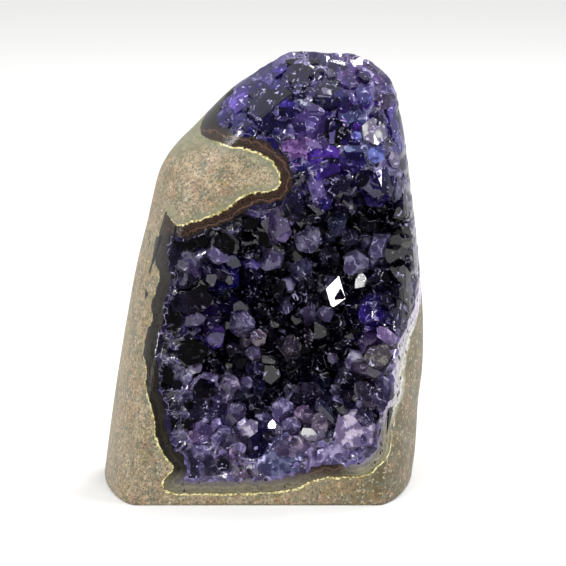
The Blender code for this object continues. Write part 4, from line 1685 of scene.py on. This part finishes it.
    def side_planes(self, crystal: QuartzCrystal) -> list[tuple[Vector, Vector]]:
        """Planes along the nearby outline, which hold a crystal at the stone's side inside it.

        Args:
            crystal: The crystal.

        Returns:
            A point and an outward direction for each plane.
        """
        outline = self.shape.outline
        run = np.roll(outline, -3, axis=0) - np.roll(outline, 3, axis=0)
        outwards = np.stack([-run[:, 1], run[:, 0]], axis=-1) / np.linalg.norm(run, axis=1)[:, None]
        away = np.hypot(outline[:, 0] - crystal.root.x, outline[:, 1] - crystal.root.z)
        near = [i for i in np.argsort(away)[:24:4] if away[i] < 10 * MM]
        found = []
        for i in near:
            normal = Vector((outwards[i][0], 0, outwards[i][1]))
            edge = Vector((outline[i][0], self.shape.mid_lean * outline[i][1], outline[i][1]))
            found.append((edge - normal * 0.25 * MM, normal))
        return found

    def varied(self, colour: np.ndarray, rng: Any, spread: float = 0.6) -> np.ndarray:
        """Gives a crystal a colour of its own, near the colour of its place.

        Args:
            colour: Colour of the place, four numbers.
            rng: Random numbers.
            spread: How far the brightness strays.

        Returns:
            The crystal's colour, four numbers.
        """
        gain = math.exp(rng.normal(0.05, spread))
        hue = 1 + rng.normal(0, 0.2) * np.array([1.0, 0.25, -0.25])
        found = np.clip(colour[:3] * gain * hue, 0, 0.7)
        if rng.uniform() < 0.13 and colour[3] > 0.5:
            found = found * 0.35 + np.array(linear("#C4BDE6")) * 0.65
        return np.array([*found, colour[3]])

    def spread(
        self,
        taken: list[tuple[float, float, float]],
        widths: tuple[float, float],
        count: int,
        ground: bool,
        rng: Any,
    ) -> list[tuple[float, float, float]]:
        """Finds free places in the druse, or in the ground quartz round it.

        Args:
            taken: Circles in use, as x, z and radius; the new ones are added.
            widths: Smallest and largest width in metres.
            count: How many places to find at most.
            ground: Whether the places are in the ground quartz.
            rng: Random numbers.

        Returns:
            x, z and width of each place.
        """
        low, high = self.shape.outline.min(0), self.shape.outline.max(0)
        spots = rng.uniform(low, high, (count * 90, 2))
        sunk = self.shape.hollow(spots[:, 0], spots[:, 1])
        margin = distance_inside(spots[:, 0], spots[:, 1], self.shape.outline)
        wall = distance_inside(spots[:, 0], spots[:, 1], self.shape.cavity) - self.shape.lining
        usable = (margin > 1.2 * MM) & (wall > 1.5 * MM) & ((sunk < 0.9 * MM) == ground)
        found: list[tuple[float, float, float]] = []
        for x, z in spots[usable]:
            width = rng.uniform(*widths)
            circles = np.array(taken)
            gap = np.hypot(circles[:, 0] - x, circles[:, 1] - z) - circles[:, 2] - width * 0.36
            if gap.min() < 0:
                continue
            taken.append((x, z, width * 0.36))
            found.append((x, z, width))
            if len(found) == count:
                break
        return found


@dataclass
class Studio:
    """Camera, floor and soft studio light."""

    elevation: float = 12.0
    distance: float = 0.60
    lens: float = 144.0
    aim: tuple[float, float, float] = (0.005, 0.0, 0.0523)
    floor_size: float = 6.0
    sparkles: tuple[tuple[float, float], ...] = ((-80, 0.45), (-30, 0.75), (30, 0.85), (80, 0.5), (60, 0.12))

    def build(self) -> None:
        """Sets up the camera, the surroundings, the lights and the floor."""
        scene = bpy.context.scene
        scene.view_settings.view_transform = "Standard"
        camera = bpy.data.objects.new("camera", bpy.data.cameras.new("camera"))
        scene.collection.objects.link(camera)
        camera.data.lens = self.lens
        camera.data.sensor_width = 36
        up = math.radians(self.elevation)
        camera.location = Vector(self.aim) + Vector((0, -math.cos(up), math.sin(up))) * self.distance
        camera.rotation_euler = (math.pi / 2 - up, 0, 0)
        scene.camera = camera
        self.surroundings(scene)
        self.softbox("key_softbox", (-0.40, -0.40, 0.60), 0.14, 45.0)
        self.softbox("top_softbox", (0.25, 0.35, 0.80), 0.22, 30.0)
        self.softbox("right_softbox", (0.62, -0.28, 0.35), 0.10, 30.0)
        self.softbox("front_softbox", (0.42, -0.55, 0.62), 0.09, 45.0)
        self.softbox("low_softbox", (-0.55, -0.50, 0.15), 0.08, 30.0)
        for number, (azimuth, height) in enumerate(self.sparkles, 1):
            turn = math.radians(azimuth)
            place = (0.7 * math.sin(turn), -0.7 * math.cos(turn), height)
            self.softbox(f"sparkle_{number}", place, 0.045, 110.0)
        self.floor()

    def surroundings(self, scene: bpy.types.Scene) -> None:
        """A white tent that is bright above and behind and dim on the camera's side.

        Args:
            scene: The scene.
        """
        world = bpy.data.worlds.new("studio")
        scene.world = world
        world.use_nodes = True
        tree = world.node_tree
        place = add_node(tree, "TexCoord", {}).outputs["Generated"]
        axes = add_node(tree, "SeparateXYZ", {"Vector": place})
        behind = scaled(tree, shown(tree, axes.outputs["Y"], -0.5, 0.5), 0.85, 0.10)
        above = shown(tree, axes.outputs["Z"], 0.5, 0.85, 1.2)
        glow = add_node(tree, "Math", {0: behind, 1: above}, operation="MAXIMUM").outputs[0]
        camera_ray = add_node(tree, "LightPath", {}).outputs["Is Camera Ray"]
        strength = add_node(tree, "Mix", {0: camera_ray, 2: glow, 3: 0.93}).outputs[0]
        background = tree.nodes["Background"]
        background.inputs["Color"].default_value = (1.0, 1.0, 1.0, 1.0)
        tree.links.new(strength, background.inputs["Strength"])

    def softbox(self, name: str, place: tuple[float, float, float], size: float, radiance: float) -> None:
        """Hangs a square softbox that faces the stone.

        Args:
            name: Name of the light.
            place: Its centre in metres.
            size: Its side in metres.
            radiance: How bright its face is, where 1 is paper white.
        """
        light = bpy.data.lights.new(name, "AREA")
        light.shape = "SQUARE"
        light.size = size
        light.energy = radiance * math.pi * size**2
        holder = bpy.data.objects.new(name, light)
        holder.location = place
        towards = Vector((0, -0.01, 0.05)) - Vector(place)
        holder.rotation_euler = towards.to_track_quat("-Z", "Y").to_euler()
        bpy.context.scene.collection.objects.link(holder)

    def floor(self) -> None:
        """Lays the pale floor."""
        half = self.floor_size / 2
        corners = [(-half, -half, 0), (half, -half, 0), (half, half, 0), (-half, half, 0)]
        floor = new_object("floor", corners, [(0, 1, 2, 3)])
        floor.data.materials.append(PaperFinish().build())


def main() -> None:
    """Builds the stone from outside to inside, then the studio."""
    shape = StoneShape()
    pieces = Layers(shape).build() + Druse(shape).build()
    for piece in pieces:
        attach(piece, "root")
        log.info("%s: %d faces", piece.name, len(piece.data.polygons))
    Studio().build()


if __name__ == "__main__":
    main()
